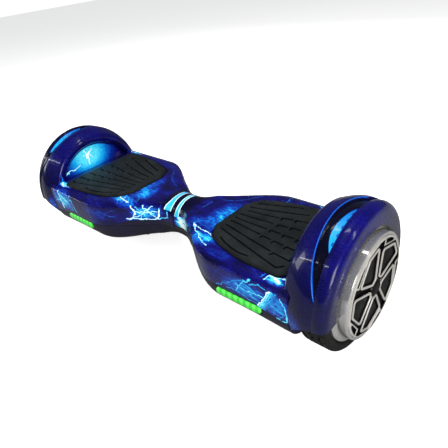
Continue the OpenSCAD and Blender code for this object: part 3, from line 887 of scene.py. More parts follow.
# The pattern of each half. Spots are (centre, size, strength). Lines are on the deck in (x, y), or on the front
# or the back in (x, z). Many points of the deck and front lines began as places read off the print in
# the photograph. A scratch program turned those into millimetres, and they were then rounded or moved by hand.
# The lines at the back were made up.
RIGHT = {
    "spots": [((84, -8, DECK), (36, 56, 14), 0.70), ((92, -58, 106), (36, 20, 14), 0.74),
              ((58, -34, 104), (28, 22, 14), 0.58), ((213, -76, 108), (18, 9, 7), 0.90),
              ((186, 76, 106), (16, 12, 9), 0.85), ((180, -88, 88), (52, 30, 19), 0.70),
              ((222, -86, 84), (28, 30, 24), 0.70), ((20, -30, 88), (24, 18, 22), 1.05),
              ((150, 88, 90), (60, 30, 22), 0.62), ((60, 44, 98), (34, 26, 16), 0.55),
              ((130, -74, 108), (40, 12, 8), 0.42), ((262, 40, 150), (14, 40, 26), 0.40)],
    "deck": [([(39, 14), (41, 4), (39, -5)], 1.3, 0.62),
             ([(58, -43), (76, -46.5), (100, -50.5)], 1.5, 0.98),
             ([(60, -45), (80, -56), (103, -61)], 1.3, 0.9),
             ([(57, -41), (72, -52), (88, -62), (106, -70)], 1.4, 0.95),
             ([(56, -39), (62, -33), (74, -26)], 1.1, 0.66), ([(60, -44), (75, -38), (93, -33)], 1.1, 0.62),
             ([(72, -52), (90, -56)], 1.2, 0.8), ([(195, -81), (199, -70)], 1.1, 0.62),
             ([(201, -79), (204, -73), (211, -74), (217, -71), (226, -67)], 1.9, 0.95),
             ([(202, -78), (214, -78), (223, -78)], 1.4, 0.82),
             ([(130, 80), (131, 70), (129, 62)], 1.2, 0.7),
             ([(46, 24), (66, 30), (80, 44), (92, 62)], 1.2, 0.55),
             ([(172, 80), (182, 74), (196, 76)], 1.6, 0.85)],
    "front": [([(134, 76), (149, 83), (162, 93), (176, 100), (187, 104)], 1.5, 0.72),
              ([(166, 81), (171, 91), (178, 99), (187, 104)], 2.0, 0.86),
              ([(183, 87.5), (194, 90), (204, 90)], 1.8, 0.90),
              ([(186, 99), (199, 103), (208, 102)], 1.5, 0.78),
              ([(150, 79), (168, 80), (185, 75.5), (195, 75)], 1.4, 0.74),
              ([(174, 84), (187, 81), (198, 80)], 1.2, 0.66),
              ([(227, 98), (232, 90), (234.6, 79), (234, 70), (228, 67), (221, 67.4)], 1.9, 0.90),
              ([(221, 92), (227, 85), (229.4, 76), (225, 69)], 1.3, 0.72),
              ([(129.5, 82), (135, 94.5), (143, 102.5)], 1.0, 0.45),
              ([(9, 93.5), (22.6, 100), (35, 94), (30, 82), (33, 74)], 2.4, 0.95),
              ([(18.6, 94), (14, 79), (18.3, 71), (31, 72)], 1.8, 1.0),
              ([(2, 79), (12, 72), (24, 66)], 2.0, 0.92)]
             + fan([(195.4, 73), (202.5, 82.3), (208, 93.5), (213, 102)],
                   [(204, 70), (212.5, 82.6), (218.5, 94.6), (221.5, 101)], 5, 2.3, 0.99, 0.66)
             + fan([(214, 98), (219, 86), (217, 72)], [(222, 100), (225, 88), (222, 74)], 2, 1.2, 0.66, 0.6),
    "back": [([(120, 78), (146, 92), (170, 84), (204, 98)], 2.0, 0.9), ([(146, 92), (150, 76)], 1.6, 0.8),
             ([(170, 84), (182, 74), (214, 76)], 1.6, 0.8), ([(60, 96), (84, 88), (104, 94)], 1.6, 0.7)]
            + fan([(176, 101), (196, 92), (222, 96)], [(168, 92), (192, 80), (220, 82)], 3, 1.5, 0.85, 0.66),
    "web": [((150, 88, 90), (56, 30, 20)), ((20, -28, 84), (16, 16, 18))],
    "neck": (5.0, 3.3, 22.0),
}
LEFT = {
    "spots": [((-84, -2, DECK), (30, 56, 14), 0.60), ((-84, -50, 107), (44, 20, 12), 0.70),
              ((-45, -42, 94), (38, 36, 15), 0.80), ((-216, -71, 109), (26, 10, 8), 0.92),
              ((-214, 80, 107), (24, 12, 11), 0.85), ((-204, -88, 92), (44, 30, 24), 0.80),
              ((-70, -20, DECK), (30, 36, 10), 0.66),
              ((-118, -84, 92), (52, 30, 18), 0.42), ((-140, 88, 90), (58, 30, 22), 0.62),
              ((-66, 44, 98), (34, 26, 16), 0.55), ((-262, 40, 150), (14, 40, 26), 0.40)],
    "deck": [([(-97, -46), (-90, -49.5), (-81, -52), (-70, -52.5)], 1.8, 1.0),
             ([(-78, -27), (-63, -36.6), (-59, -45)], 1.1, 0.70),
             ([(-92, -40), (-80, -43), (-70, -52)], 1.2, 0.80),
             ([(-96, -58), (-84, -50), (-74, -34), (-60, -26)], 1.0, 0.62),
             ([(-90, -56), (-86, -44)], 1.3, 0.95),
             ([(-234, -64), (-224, -69), (-214, -76), (-202, -71)], 1.8, 0.97),
             ([(-228, -76), (-216, -70)], 1.3, 0.9), ([(-228, 74), (-212, 80), (-196, 76)], 1.6, 0.95),
             ([(-44, 22), (-66, 32), (-88, 58)], 1.2, 0.55)],
    "front": [([(-64, 106), (-58, 97), (-62, 84.5), (-70, 84)], 2.0, 1.0),
              ([(-24.5, 105), (-27.5, 96), (-29.5, 83)], 2.2, 1.0),
              ([(-59.5, 97), (-45, 94.5), (-30, 96)], 1.8, 0.96),
              ([(-62, 84.5), (-47.5, 94), (-35.5, 105)], 1.8, 0.96),
              ([(-48, 105.5), (-38, 92), (-29.5, 83.5)], 1.8, 0.95),
              ([(-70, 84), (-53.5, 83), (-29.5, 83)], 2.2, 0.97),
              ([(-24.5, 104), (-15, 97.5), (-12, 88), (-29, 83)], 1.8, 0.88),
              ([(-57, 104), (-50, 96), (-52, 84)], 1.4, 0.9),
              ([(-214.5, 105), (-212, 91), (-210, 76)], 2.6, 0.96),
              ([(-180, 105), (-176, 92), (-170, 78)], 2.2, 0.84),
              ([(-229, 85), (-214, 91), (-200, 96), (-176, 98.5)], 1.4, 0.84),
              ([(-228, 104), (-222, 84)], 1.6, 0.80),
              ([(-120, 92), (-106, 98), (-94, 90), (-84, 88)], 1.2, 0.56),
              ([(-104, 84), (-98, 96), (-84, 100)], 1.0, 0.5)]
             + fan([(-206, 105), (-202, 90), (-199, 76)], [(-188, 105), (-184, 91), (-180, 77)],
                   4, 1.3, 0.66, 0.72),
    "back": [([(-110, 84), (-136, 94), (-158, 82), (-196, 96)], 2.0, 0.9), ([(-136, 94), (-142, 76)], 1.6, 0.8),
             ([(-158, 82), (-176, 74)], 1.6, 0.8), ([(-56, 94), (-78, 88), (-98, 95)], 1.6, 0.7)]
            + fan([(-176, 101), (-200, 90), (-226, 96)], [(-170, 92), (-196, 78), (-224, 82)],
                  3, 1.5, 0.85, 0.66),
    "web": [((-47, -40, 93), (34, 40, 15)), ((-140, 88, 88), (56, 30, 20))],
    "neck": (-12.0, 4.9, 31.0),
}
ENERGY = [(0.0, (0.0006, 0.0006, 0.006)), (0.14, (0.0016, 0.0012, 0.045)), (0.30, (0.004, 0.003, 0.165)),
          (0.46, (0.003, 0.035, 0.40)), (0.62, (0.004, 0.15, 0.70)), (0.78, (0.01, 0.46, 0.88)),
          (0.90, (0.12, 0.82, 0.96)), (1.0, (0.88, 1.0, 1.0))]
BURST = [([(0, -1), (-6, 9)], 2.6, 1.0), ([(0, 0), (9, 8)], 2.4, 1.0), ([(0, 0), (-2, -17)], 2.8, 1.0),
         ([(-1, 0), (-10, 2)], 1.8, 1.0), ([(1, 0), (8, -5)], 1.8, 0.98),
         ([(-50, -18), (-40, -14), (-30, -16), (-20, -12)], 2.0, 0.95),
         ([(-52, -12), (-44, -18)], 1.8, 0.9), ([(-3, -4), (3, 4)], 5.0, 1.0)]
BURST_Y, BURST_Z = -7.0, 134.0          # its middle on the half-moon panel, measured in the same way


def swapped(p, under, over, where):
    """One value where a mask is 0 and another where it is 1."""
    return p.plus(p.times(under, p.minus(1.0, where)), p.times(over, where))


def neck_stripes(p, energy, angle, out_x, design):
    """Two bright stripes round the neck, on a darker ground."""
    middle, half, low = design["neck"]
    lean = 2.0 if design is LEFT else 0.0
    wide = p.step(angle, 20, 80, half + 1.7, half)
    off = p.positive(p.minus(p.plus(p.x, p.step(angle, 20, 60, lean, 0)), middle))
    edge = p.minus(wide, off)
    stripe = p.times(p.step(edge, 0.0, 0.5), p.step(edge, 1.2, 2.2, 1.0, 0.80))
    stripe = p.times(stripe, p.times(p.step(angle, low, low + 1.5), p.step(angle, 128, 112)))
    stripe = p.times(stripe, p.step(out_x, 24, 22))
    dark = p.times(p.step(out_x, 34, 20), p.step(angle, 24, 34))
    return p.larger(p.times(energy, p.step(dark, 0, 1, 1.0, 0.25)), stripe)


def panel_burst(p, jagged, fine):
    """Half-moon panel: a burst of white light on cyan."""
    star = p.vector("ADD", p.combine(p.minus(p.y, BURST_Y), p.minus(p.z, BURST_Z), 0.0),
                    p.scaled(jagged, (0.7, 0.7, 0.0)))
    bow = p.vector("LENGTH", p.scaled(star, (0.8, 1.0, 0.0)))
    halo = p.step(bow, 10, 60, 0.90, 0.20)
    rays = strokes(p, star, BURST)
    return p.larger(p.times(halo, p.step(fine, 0.2, 0.8, 0.92, 1.03)), rays)


def fender_tone(p, radius, angle, out_x, swirl, mottle, side):
    """The fender: a quiet ring, a painted highlight along the crease, painted shade in the valley and the lamp
    crescent.
    """
    ring = p.times(p.step(angle, 10, 62, 0.15, 0.25), p.step(angle, 170, 95, 0.20, 1.0))
    # painted shade: on the left fender the ring is painted darker towards its outer edge
    if side < 0:
        ring = p.times(ring, p.step(out_x, 250, 268, 1.0, 0.45))
    tone = p.times(ring, p.step(swirl, 0.3, 0.7, 0.75, 1.15))
    tone = p.larger(tone, p.times(spot(p, (side * 241, -88, 74), (18, 22, 22), 0.55), mottle))
    bend = p.minus(angle, CREASE_A)
    k = p.plus(p.times(p.math("GREATER_THAN", bend, 0.0), CREASE_BEND_BACK - CREASE_BEND), CREASE_BEND)
    crease = p.plus(p.times(bend, bend, k), CREASE_X0)
    past = p.minus(out_x, crease)
    # painted shade: the valley past the crease is painted almost black
    valley = p.times(p.step(past, 0.2, 1.0), p.step(out_x, CREASE_END - 0.3, CREASE_END - 1.7))
    tone = p.times(tone, p.step(valley, 0, 1, 1.0, 0.08))
    outer = p.step(radius, 80, 84)
    # painted highlight: a thin bright line drawn along the crease
    line = p.step(p.positive(p.plus(past, 0.1)), 0.35, 0.8, 0.60, 0.0)
    line = p.times(line, p.times(outer, p.times(p.step(angle, 17, 21), p.step(angle, 116, 110))))
    u = p.math("DIVIDE", p.minus(angle, LAMP_A), p.step(bend, -10.5, -9.5, LAMP_FRONT, LAMP_BACK))
    near_edge = p.plus(p.times(u, u, LAMP_W), LAMP_X - LAMP_W)
    lamp = p.times(p.step(p.minus(out_x, near_edge), 0.0, 0.7), p.step(out_x, LAMP_X + 0.3, LAMP_X - 0.3))
    lamp = p.times(lamp, p.times(outer, p.step(p.positive(u), 1.0, 0.97)))
    dashes = p.times(p.step(p.sine(p.times(angle, 0.9)), 0.2, 0.5),
                     p.step(p.positive(p.minus(out_x, LAMP_X - 2)), 0.9, 0.6))
    lit = p.minus(p.step(angle, 96, 56, 0.64, 0.78), p.times(dashes, 0.22))
    return p.larger(tone, line, p.times(lamp, lit))


def shell_paint(name, design):
    """Glossy print: storm clouds from black-navy to azure, with lightning drawn on it, under clear lacquer.

    Everything adds up to one number, the energy, which picks the colour.
    """
    p = Paint(name)
    radius, angle = p.polar()
    out_x = p.positive(p.x)
    side = 1 if design is RIGHT else -1
    # clouds: a slow swirl, fine mottling, streaks and marble veins, brighter in the design's spots
    swirl = p.noise(p.scaled(p.where, (0.020, 0.026, 0.03)), 1.0, 4.0, 0.6, 1.2)
    fine = p.noise(p.scaled(p.where, (0.05, 0.11, 0.16)), 1.0, 5.0, 0.65, 2.2)
    streaks = p.noise(p.scaled(p.where, (0.035, 0.3, 0.3)), 1.0, 4.0, 0.6, 1.5)
    marble = p.waves(p.scaled(p.where, (0.030, 0.045, 0.085)), 0.55, "DIAGONAL", 9.0)
    base = p.plus(p.step(swirl, 0.3, 0.72, 0.10, 0.34), p.times(p.math("POWER", marble, 4.0), 0.07))
    glow = 0.0
    for centre, size, strength in design["spots"]:
        glow = p.larger(spot(p, centre, size, strength), glow)
    veins = p.plus(p.step(p.positive(p.minus(fine, 0.5)), 0.0, 0.05, 0.14, 0.0),
                   p.times(p.math("POWER", marble, 5.0), 0.22))
    cloud = p.plus(p.step(fine, 0.25, 0.8, 0.62, 1.08), p.times(p.step(streaks, 0.4, 0.7), 0.12))
    mottle = p.plus(cloud, veins)
    glow = p.times(glow, mottle)
    # drawn lightning, made jagged by moving its plane
    aside = p.vector("ADD", p.where, (70, 20, 50))
    shake = p.combine(p.noise(p.where, 0.16, 2.0), p.noise(aside, 0.16, 2.0), 0.5)
    jagged = p.scaled(p.vector("SUBTRACT", shake, (0.5, 0.5, 0.5)), (7.0, 7.0, 0.0))
    deck = p.vector("ADD", p.combine(p.x, p.y, 0.0), jagged)
    wall = p.vector("ADD", p.combine(p.x, p.z, 0.0), jagged)
    on_top = p.step(p.z, 102.0, 104.5)
    in_front = p.times(p.step(p.y, -20, -24), p.step(p.z, 107.5, 105.5))
    behind = p.times(p.step(p.y, 20, 24), p.step(p.z, 107.5, 105.5))
    lines = p.larger(p.times(strokes(p, deck, design["deck"]), on_top),
                     p.times(strokes(p, wall, design["front"]), in_front),
                     p.times(strokes(p, wall, design["back"]), behind))
    # thin threads of light where the web patches are strongest
    threads = p.step(p.cells(p.vector("ADD", p.where, jagged), 0.085, "DISTANCE_TO_EDGE"), 0.0, 0.045, 1.0, 0.0)
    web = p.larger(*[spot(p, centre, size, 1.0) for centre, size in design["web"]])
    threads = p.times(threads, p.step(web, 0.25, 0.8, 0.0, 0.84))
    energy = p.larger(base, glow, lines, threads)
    energy = neck_stripes(p, energy, angle, out_x, design)
    in_panel = p.times(p.step(out_x, 231.8, 232.6), p.step(radius, 67.6, 66.6), p.step(out_x, 236.5, 236.0))
    energy = swapped(p, energy, panel_burst(p, jagged, fine), in_panel)
    on_fender = p.times(p.step(radius, 67, 68.5), p.step(out_x, 223, 226))
    on_fender = p.times(on_fender, p.larger(p.step(out_x, 236.2, 237), p.step(p.z, DECK, DECK + 3)))
    energy = swapped(p, energy, fender_tone(p, radius, angle, out_x, swirl, mottle, side), on_fender)
    colour = p.ramp(energy, ENERGY)
    # below a line that climbs towards the neck the print ends in plain dark violet
    hem = p.plus(p.step(out_x, 105, 62, 0.0, 9.5), SPLIT_Z)
    bare = p.times(p.step(p.minus(hem, p.z), -0.3, 0.3), p.step(out_x, 120, 110))
    colour = p.blend(bare, colour, (0.007, 0.005, 0.028))
    energy = p.times(energy, p.minus(1.0, bare))
    # the lip of the wheel opening is bare dark plastic
    lip = p.times(p.step(out_x, 277, 278), p.step(radius, 68.4, 67.2))
    colour = p.blend(lip, colour, (0.006, 0.006, 0.009))
    peel = p.noise(p.where, 0.35, 2.0)
    edges = p.soft_edges(0.7)
    p.set(Base_Color=colour, Roughness=p.step(fine, 0.2, 0.8, 0.22, 0.34), Specular_IOR_Level=0.25,
          Coat_Weight=1.0, Coat_Roughness=p.step(p.noise(p.where, 0.06, 3.0), 0.3, 0.8, 0.02, 0.06),
          Coat_IOR=1.42, Normal=edges, Coat_Normal=p.bump(peel, 0.02, edges, 0.25))
    # painted glow: the brighter the print, the more light it gives off, though the shell is no lamp
    p.set(Emission_Color=colour, Emission_Strength=p.step(energy, 0.40, 0.95, 0.0, 0.45))
    return p.material


def turning_lines(p, across, along):
    """Fine rings about the axle, as a lathe leaves them."""
    radius, angle = p.polar()
    where = p.combine(p.times(radius, across), p.times(p.x, across), p.times(angle, along))
    return p.noise(where, 1.0, 3.0)


def plastic(name, colour, rough, grain=1.0, grain_size=1.2, wear=0.0, edge=0.5, gloss=0.5):
    """Moulded plastic or rubber: a fine pebbled grain, slight mottling and paler worn edges."""
    p = Paint(name)
    mottle = p.noise(p.where, 0.05, 4.0, 0.6)
    pebble = p.cells(p.where, 1.0 / grain_size, "F1")
    fine = p.noise(p.where, 2.2 / grain_size, 2.0)
    light = tuple(min(1.0, c * 1.5 + 0.006) for c in colour)
    tint = p.blend(p.step(mottle, 0.3, 0.75), colour, light)
    edges = p.soft_edges(edge)
    height = p.plus(p.times(pebble, -0.6), p.times(fine, 0.5))
    if wear:
        n = p.node("ShaderNodeNewGeometry")
        rub = p.times(p.step(n.outputs["Pointiness"], 0.52, 0.60), wear)
        tint = p.blend(rub, tint, tuple(min(1.0, c * 3 + 0.03) for c in colour))
    p.set(Base_Color=tint, Roughness=p.step(fine, 0.2, 0.8, rough - 0.06, rough + 0.08),
          Normal=p.bump(height, 0.05 * grain, edges, 0.8), Specular_IOR_Level=gloss)
    return p.material


STRETCH = {"X": (0.05, 2.5, 2.5), "Y": (2.5, 0.05, 2.5), "Z": (2.5, 2.5, 0.05)}


def metal(name, colour, rough, brushed=None, cast=0.0, edge=0.4):
    """Metal: turned or brushed lines, or the grainy skin of a casting, with smudges in its gloss."""
    p = Paint(name)
    smudge = p.noise(p.where, 0.045, 4.0, 0.6)
    edges = p.soft_edges(edge)
    if brushed == "turned":
        lines = turning_lines(p, 2.4, 0.02)
    elif brushed:
        lines = p.noise(p.scaled(p.where, STRETCH[brushed]), 1.0, 3.0)
    else:
        lines = p.noise(p.where, 1.2, 5.0, 0.7)
    shade = p.blend(p.step(smudge, 0.3, 0.75), tuple(c * 0.82 for c in colour), colour)
    dull = p.plus(p.step(lines, 0.25, 0.75, rough - 0.05, rough + 0.09), p.step(smudge, 0.3, 0.8, -0.02, 0.05))
    p.set(Base_Color=shade, Metallic=1.0, Roughness=dull, Normal=p.bump(lines, 0.02 + 0.18 * cast, edges, 0.5))
    return p.material


def lower_paint():
    """The underside shells: satin black plastic with a violet cast and a fine moulded grain."""
    p = Paint("satin_shell")
    cloud = p.noise(p.where, 0.02, 4.0, 0.6)
    grain = p.cells(p.where, 1.1, "F1")
    scuff = p.noise(p.scaled(p.where, (0.04, 0.9, 0.9)), 1.0, 4.0, 0.7)
    low = p.times(p.step(p.z, 44, 34), p.step(scuff, 0.56, 0.72))
    colour = p.blend(p.step(cloud, 0.3, 0.7), (0.005, 0.004, 0.019), (0.009, 0.007, 0.036))
    colour = p.blend(p.times(low, 0.35), colour, (0.06, 0.06, 0.07))
    dull = p.plus(p.step(grain, 0.1, 0.7, 0.30, 0.38), p.times(low, 0.2))
    p.set(Base_Color=colour, Roughness=dull, Normal=p.bump(grain, 0.03, p.soft_edges(0.6), 0.5),
          Coat_Weight=0.25, Coat_Roughness=0.25)
    return p.material


def mat_rubber():
    """Charcoal rubber, a little dusty on its face, with painted shade: the groove floors are painted near
    black.
    """
    p = Paint("mat_rubber")
    dust = p.noise(p.where, 0.04, 5.0, 0.62)
    grain = p.noise(p.where, 1.4, 3.0, 0.6)
    pits = p.cells(p.where, 0.8, "F1")
    face = p.blend(p.step(dust, 0.3, 0.75), (0.009, 0.012, 0.013), (0.022, 0.026, 0.027))
    top = p.step(p.z, MAT_Z + 2.6, MAT_TOP - 0.1)
    colour = p.blend(p.minus(1.0, top), face, (0.008, 0.009, 0.010))
    # painted shade: the floor of every groove is painted near black
    flat = p.math("GREATER_THAN", p.positive(p.minus(p.z, MAT_TOP - GROOVE_D)), 0.05)
    colour = p.blend(flat, (0.002, 0.002, 0.003), colour)
    height = p.plus(grain, p.times(pits, 0.5))
    p.set(Base_Color=colour, Roughness=p.step(grain, 0.3, 0.7, 0.50, 0.66), Specular_IOR_Level=0.30,
          Normal=p.bump(height, 0.10, p.soft_edges(0.6), 0.7))
    return p.material


def tyre_rubber():
    """Black rubber: paler where the tread is worn and dusty, fine rings on the side walls."""
    p = Paint("tyre_rubber")
    radius = p.polar()[0]
    dust = p.noise(p.where, 0.05, 5.0, 0.62)
    grain = p.noise(p.where, 1.6, 3.0, 0.6)
    worn = p.step(radius, AXLE_Z - 0.9, AXLE_Z - 0.1)
    colour = p.blend(p.step(dust, 0.3, 0.75), (0.004, 0.004, 0.004), (0.010, 0.010, 0.009))
    colour = p.blend(p.times(worn, p.step(dust, 0.35, 0.7, 0.2, 0.8)), colour, (0.026, 0.026, 0.024))
    rings = p.sine(p.times(radius, 6.0))
    height = p.plus(grain, p.times(rings, p.step(radius, 80, 77), 0.25))
    p.set(Base_Color=colour, Roughness=p.step(grain, 0.3, 0.7, 0.62, 0.82),
          Normal=p.bump(height, 0.12, p.soft_edges(0.5), 0.8))
    return p.material


def polished_drum():
    """Polished rim: faint turning lines and smudges."""
    p = Paint("polished_rim")
    lines = turning_lines(p, 3.0, 0.01)
    smudge = p.noise(p.where, 0.05, 4.0, 0.6)
    colour = p.blend(p.step(smudge, 0.3, 0.75), (0.80, 0.79, 0.78), (0.93, 0.92, 0.90))
    dull = p.plus(p.step(lines, 0.3, 0.7, 0.05, 0.11), p.step(smudge, 0.35, 0.8, 0.0, 0.06))
    p.set(Base_Color=colour, Metallic=0.80, Roughness=dull, Normal=p.bump(lines, 0.012, p.soft_edges(0.5), 0.4))
    return p.material


def face_silver():
    """Wheel face: warm silver on the spokes and round the rim, with painted shade: the sides of the spokes are
    painted near black.
    """
    p = Paint("face_silver")
    lines = turning_lines(p, 2.2, 0.015)
    flake = p.noise(p.where, 3.0, 2.0)
    smudge = p.noise(p.where, 0.04, 4.0, 0.6)
    colour = p.blend(p.step(smudge, 0.3, 0.75), (0.60, 0.575, 0.53), (0.78, 0.755, 0.71))
    # painted shade: everywhere except the front faces and the outer rim, the face is painted near black
    front = p.step(p.positive(p.x), FACE_X - 0.9, FACE_X - 0.6)
    silver = p.larger(front, p.step(p.polar()[0], FACE_R - 1.1, FACE_R - 0.7))
    colour = p.blend(silver, (0.005, 0.005, 0.005), colour)
    dull = p.plus(p.step(lines, 0.3, 0.7, 0.20, 0.30), p.step(flake, 0.3, 0.7, 0.0, 0.04))
    p.set(Base_Color=colour, Metallic=p.times(silver, 0.40), Roughness=dull,
          Normal=p.bump(lines, 0.02, p.soft_edges(0.6), 0.4), Coat_Weight=0.4, Coat_Roughness=0.08)
    return p.material


def green_lens():
    """Saturated green lamp: a ribbed diffuser, brightest over each light behind it."""
    p = Paint("green_lens")
    out_x = p.positive(p.x)
    ribs = p.sine(p.times(out_x, TURN / 3.0))
    lamps = p.sine(p.times(p.minus(out_x, LIGHT_X), TURN / LIGHT_STEP))
    rise = p.step(p.z, LENS_Z - 5, LENS_Z + 4)
    colour = p.ramp(p.plus(p.times(rise, 0.6), p.step(lamps, -1, 1, 0.0, 0.4)),
                    [(0.0, (0.02, 0.42, 0.02)), (0.6, (0.05, 0.68, 0.05)), (1.0, (0.14, 0.85, 0.12))])
    p.set(Base_Color=colour, Roughness=0.2, Coat_Weight=1.0, Coat_Roughness=0.05,
          Normal=p.bump(ribs, 0.05, None, 0.4),
          Emission_Color=colour, Emission_Strength=p.step(lamps, -1, 1, 0.42, 0.56))
    return p.material


def board_green(name):
    """Circuit board: solder mask with copper tracks and pads, black chips above its face."""
    p = Paint(name)
    plan = p.scaled(p.where, (1, 1, 0))
    tracks = p.math("MINIMUM", p.cells(plan, 0.22, "DISTANCE_TO_EDGE", 0.0),
                    p.cells(plan, 0.09, "DISTANCE_TO_EDGE", 0.3))
    line = p.step(tracks, 0.02, 0.06, 1.0, 0.0)
    mask = p.blend(line, (0.004, 0.075, 0.018), (0.02, 0.20, 0.05))
    pads = p.step(p.cells(plan, 0.35), 0.16, 0.12)
    mask = p.blend(p.times(pads, 0.8), mask, (0.75, 0.68, 0.5))
    speck = p.noise(p.where, 1.5, 3.0)
    chips = p.larger(p.step(p.z, 94.8, 95.0), p.times(p.step(p.z, 53.8, 54.0), p.step(p.z, 90, 88)))
    colour = p.blend(chips, mask, p.blend(speck, (0.010, 0.010, 0.011), (0.022, 0.022, 0.024)))
    p.set(Base_Color=colour, Roughness=p.step(speck, 0.3, 0.7, 0.28, 0.42),
          Normal=p.bump(line, 0.04, p.soft_edges(0.3), 0.6))
    return p.material


def copper_wire():
    """Enamelled copper wound on the teeth: close turns across the axle."""
    p = Paint("copper_wire")
    turns = p.sine(p.times(p.polar()[0], TURN / 0.8))
    heat = p.noise(p.where, 0.12, 3.0)
    colour = p.blend(heat, (0.55, 0.20, 0.06), (0.80, 0.36, 0.13))
    p.set(Base_Color=colour, Metallic=0.9, Roughness=p.step(turns, -1, 1, 0.34, 0.22),
          Normal=p.bump(turns, 0.2, None, 0.9), Coat_Weight=0.5)
    return p.material


def stator_iron():
    """Stacked laminations of silicon steel, varnished."""
    p = Paint("stator_iron")
    sheets = p.sine(p.times(p.x, TURN / 0.5))
    rust = p.noise(p.where, 0.3, 4.0, 0.7)
    colour = p.blend(p.step(rust, 0.5, 0.8), (0.16, 0.17, 0.20), (0.20, 0.13, 0.09))
    p.set(Base_Color=colour, Metallic=0.85, Roughness=p.step(sheets, -1, 1, 0.5, 0.35),
          Normal=p.bump(sheets, 0.08, p.soft_edges(0.3), 0.7))
    return p.material


def battery_wrap():
    """Heat-shrunk blue film over rows of round cells."""
    p = Paint("battery_wrap")
    cells = p.sine(p.times(p.y, TURN / 19.0))
    folds = p.noise(p.scaled(p.where, (0.08, 0.5, 0.12)), 1.0, 4.0, 0.6, 1.0)
    colour = p.blend(folds, (0.004, 0.05, 0.22), (0.012, 0.12, 0.42))
    p.set(Base_Color=colour, Roughness=p.step(folds, 0.3, 0.7, 0.16, 0.32), Coat_Weight=0.5,
          Normal=p.bump(p.plus(cells, p.times(folds, 0.8)), 0.8, p.soft_edges(1.0), 0.5))
    return p.material


def strap_web():
    """Woven nylon strap."""
    p = Paint("strap_web")
    a = p.sine(p.times(p.plus(p.y, p.z), TURN / 1.4))
    b = p.sine(p.times(p.x, TURN / 1.6))
    weave = p.times(a, b)
    colour = p.blend(p.step(weave, -1, 1), (0.008, 0.008, 0.009), (0.045, 0.045, 0.048))
    p.set(Base_Color=colour, Roughness=0.8, Sheen_Weight=0.3, Normal=p.bump(weave, 0.25, None, 0.8))
    return p.material


# ---- camera, floor and light ----
CAMERA_ANGLES = (45.5, 31.94, -7.48)    # round, up and roll, in degrees
CAMERA_TARGET = (-94, 162.1, -54.5)
CAMERA_FAR = 867.0
CAMERA_LENS = 34.8
FLOOR_HALF = 6.0
FLOOR_GLOW = 0.72
FLOOR_IN_GLOSS = (0.24, 0.24, 0.24)
BACKDROP = 1.05
ROOM_LIGHT = 0.07
# Soft boxes light the paint. Only the narrow strips and cards show in its gloss. In metres and watts:
# (name, place, aim, size, power).
SOFT_BOXES = [
    ("top_box", (0.1, 0.2, 1.9), (0, 0, 0), (1.6, 1.0), 20),
    ("front_box", (-0.4, -1.7, 1.1), (0, 0, 0.05), (1.3, 0.6), 12),
    ("right_box", (1.7, -0.4, 0.9), (0.2, 0, 0.08), (0.8, 0.8), 6),
    ("back_box", (-0.3, 1.7, 1.0), (0, 0, 0.1), (1.4, 0.6), 10),
    ("left_box", (-1.7, 0.1, 0.9), (-0.2, 0, 0.1), (0.8, 0.8), 6),
    ("wheel_box", (1.3, -0.5, 0.3), (0.29, 0, 0.08), (0.5, 0.5), 9),
]
STRIPS = [
    ("top_strip", (0.0, 0.25, 2.0), (0, 0, 0.1), (1.3, 0.16), 3.0),
    ("wheel_card", (1.6, -0.75, 0.55), (0.29, 0, 0.08), (0.45, 0.6), 5.0),
    ("wheel_strip", (1.7, 0.55, 1.1), (0.29, 0, 0.08), (0.16, 0.9), 2.0),
    ("left_card", (-1.6, -0.7, 0.6), (-0.29, 0, 0.08), (0.4, 0.6), 2.0),
]


def add_camera():
    az, el, roll = (math.radians(a) for a in CAMERA_ANGLES)
    back = Vector((math.sin(az) * math.cos(el), -math.cos(az) * math.cos(el), math.sin(el)))
    right = Vector((math.cos(az), math.sin(az), 0))
    up = back.cross(right)
    rolled_right = right * math.cos(roll) + up * math.sin(roll)
    rolled_up = up * math.cos(roll) - right * math.sin(roll)
    data = bpy.data.cameras.new("camera")
    data.sensor_width = 36.0
    data.lens = CAMERA_LENS
    data.clip_start, data.clip_end = 0.01, 50
    obj = bpy.data.objects.new("camera", data)
    place = Matrix((rolled_right, rolled_up, back)).transposed().to_4x4()
    place.translation = (Vector(CAMERA_TARGET) + back * CAMERA_FAR) * MM
    obj.matrix_world = place
    bpy.context.scene.collection.objects.link(obj)
    bpy.context.scene.camera = obj


def add_area(name, place, aim, size, watts, mirrored_in_gloss=True):
    data = bpy.data.lights.new(name, "AREA")
    data.shape = "RECTANGLE"
    data.size, data.size_y = size
    data.energy = watts
    obj = bpy.data.objects.new(name, data)
    obj.location = place
    obj.rotation_euler = (Vector(aim) - Vector(place)).to_track_quat("-Z", "Y").to_euler()
    obj.visible_glossy = mirrored_in_gloss
    bpy.context.scene.collection.objects.link(obj)


def add_strip(name, start, stop, aim, width, watts):
    """A long narrow light from start to stop that faces a point. It draws the bright line along the ridges."""
    a, b = Vector(start), Vector(stop)
    x = (b - a).normalized()
    z = (a + b) / 2 - Vector(aim)
    z = (z - x * z.dot(x)).normalized()
    add_area(name, (a + b) / 2, aim, ((b - a).length, width), watts)
    place = Matrix((x, z.cross(x), z)).transposed().to_4x4()
    place.translation = (a + b) / 2
    bpy.data.objects[name].matrix_world = place


def seen_or_lit(tree, seen, lit):
    """What the camera sees directly, and what lights and mirrors the object."""
    swap = tree.nodes.new("ShaderNodeMixShader")
    path = tree.nodes.new("ShaderNodeLightPath")
    tree.links.new(path.outputs["Is Camera Ray"], swap.inputs[0])
    tree.links.new(lit.outputs[0], swap.inputs[1])
    tree.links.new(seen.outputs[0], swap.inputs[2])
    return swap.outputs[0]


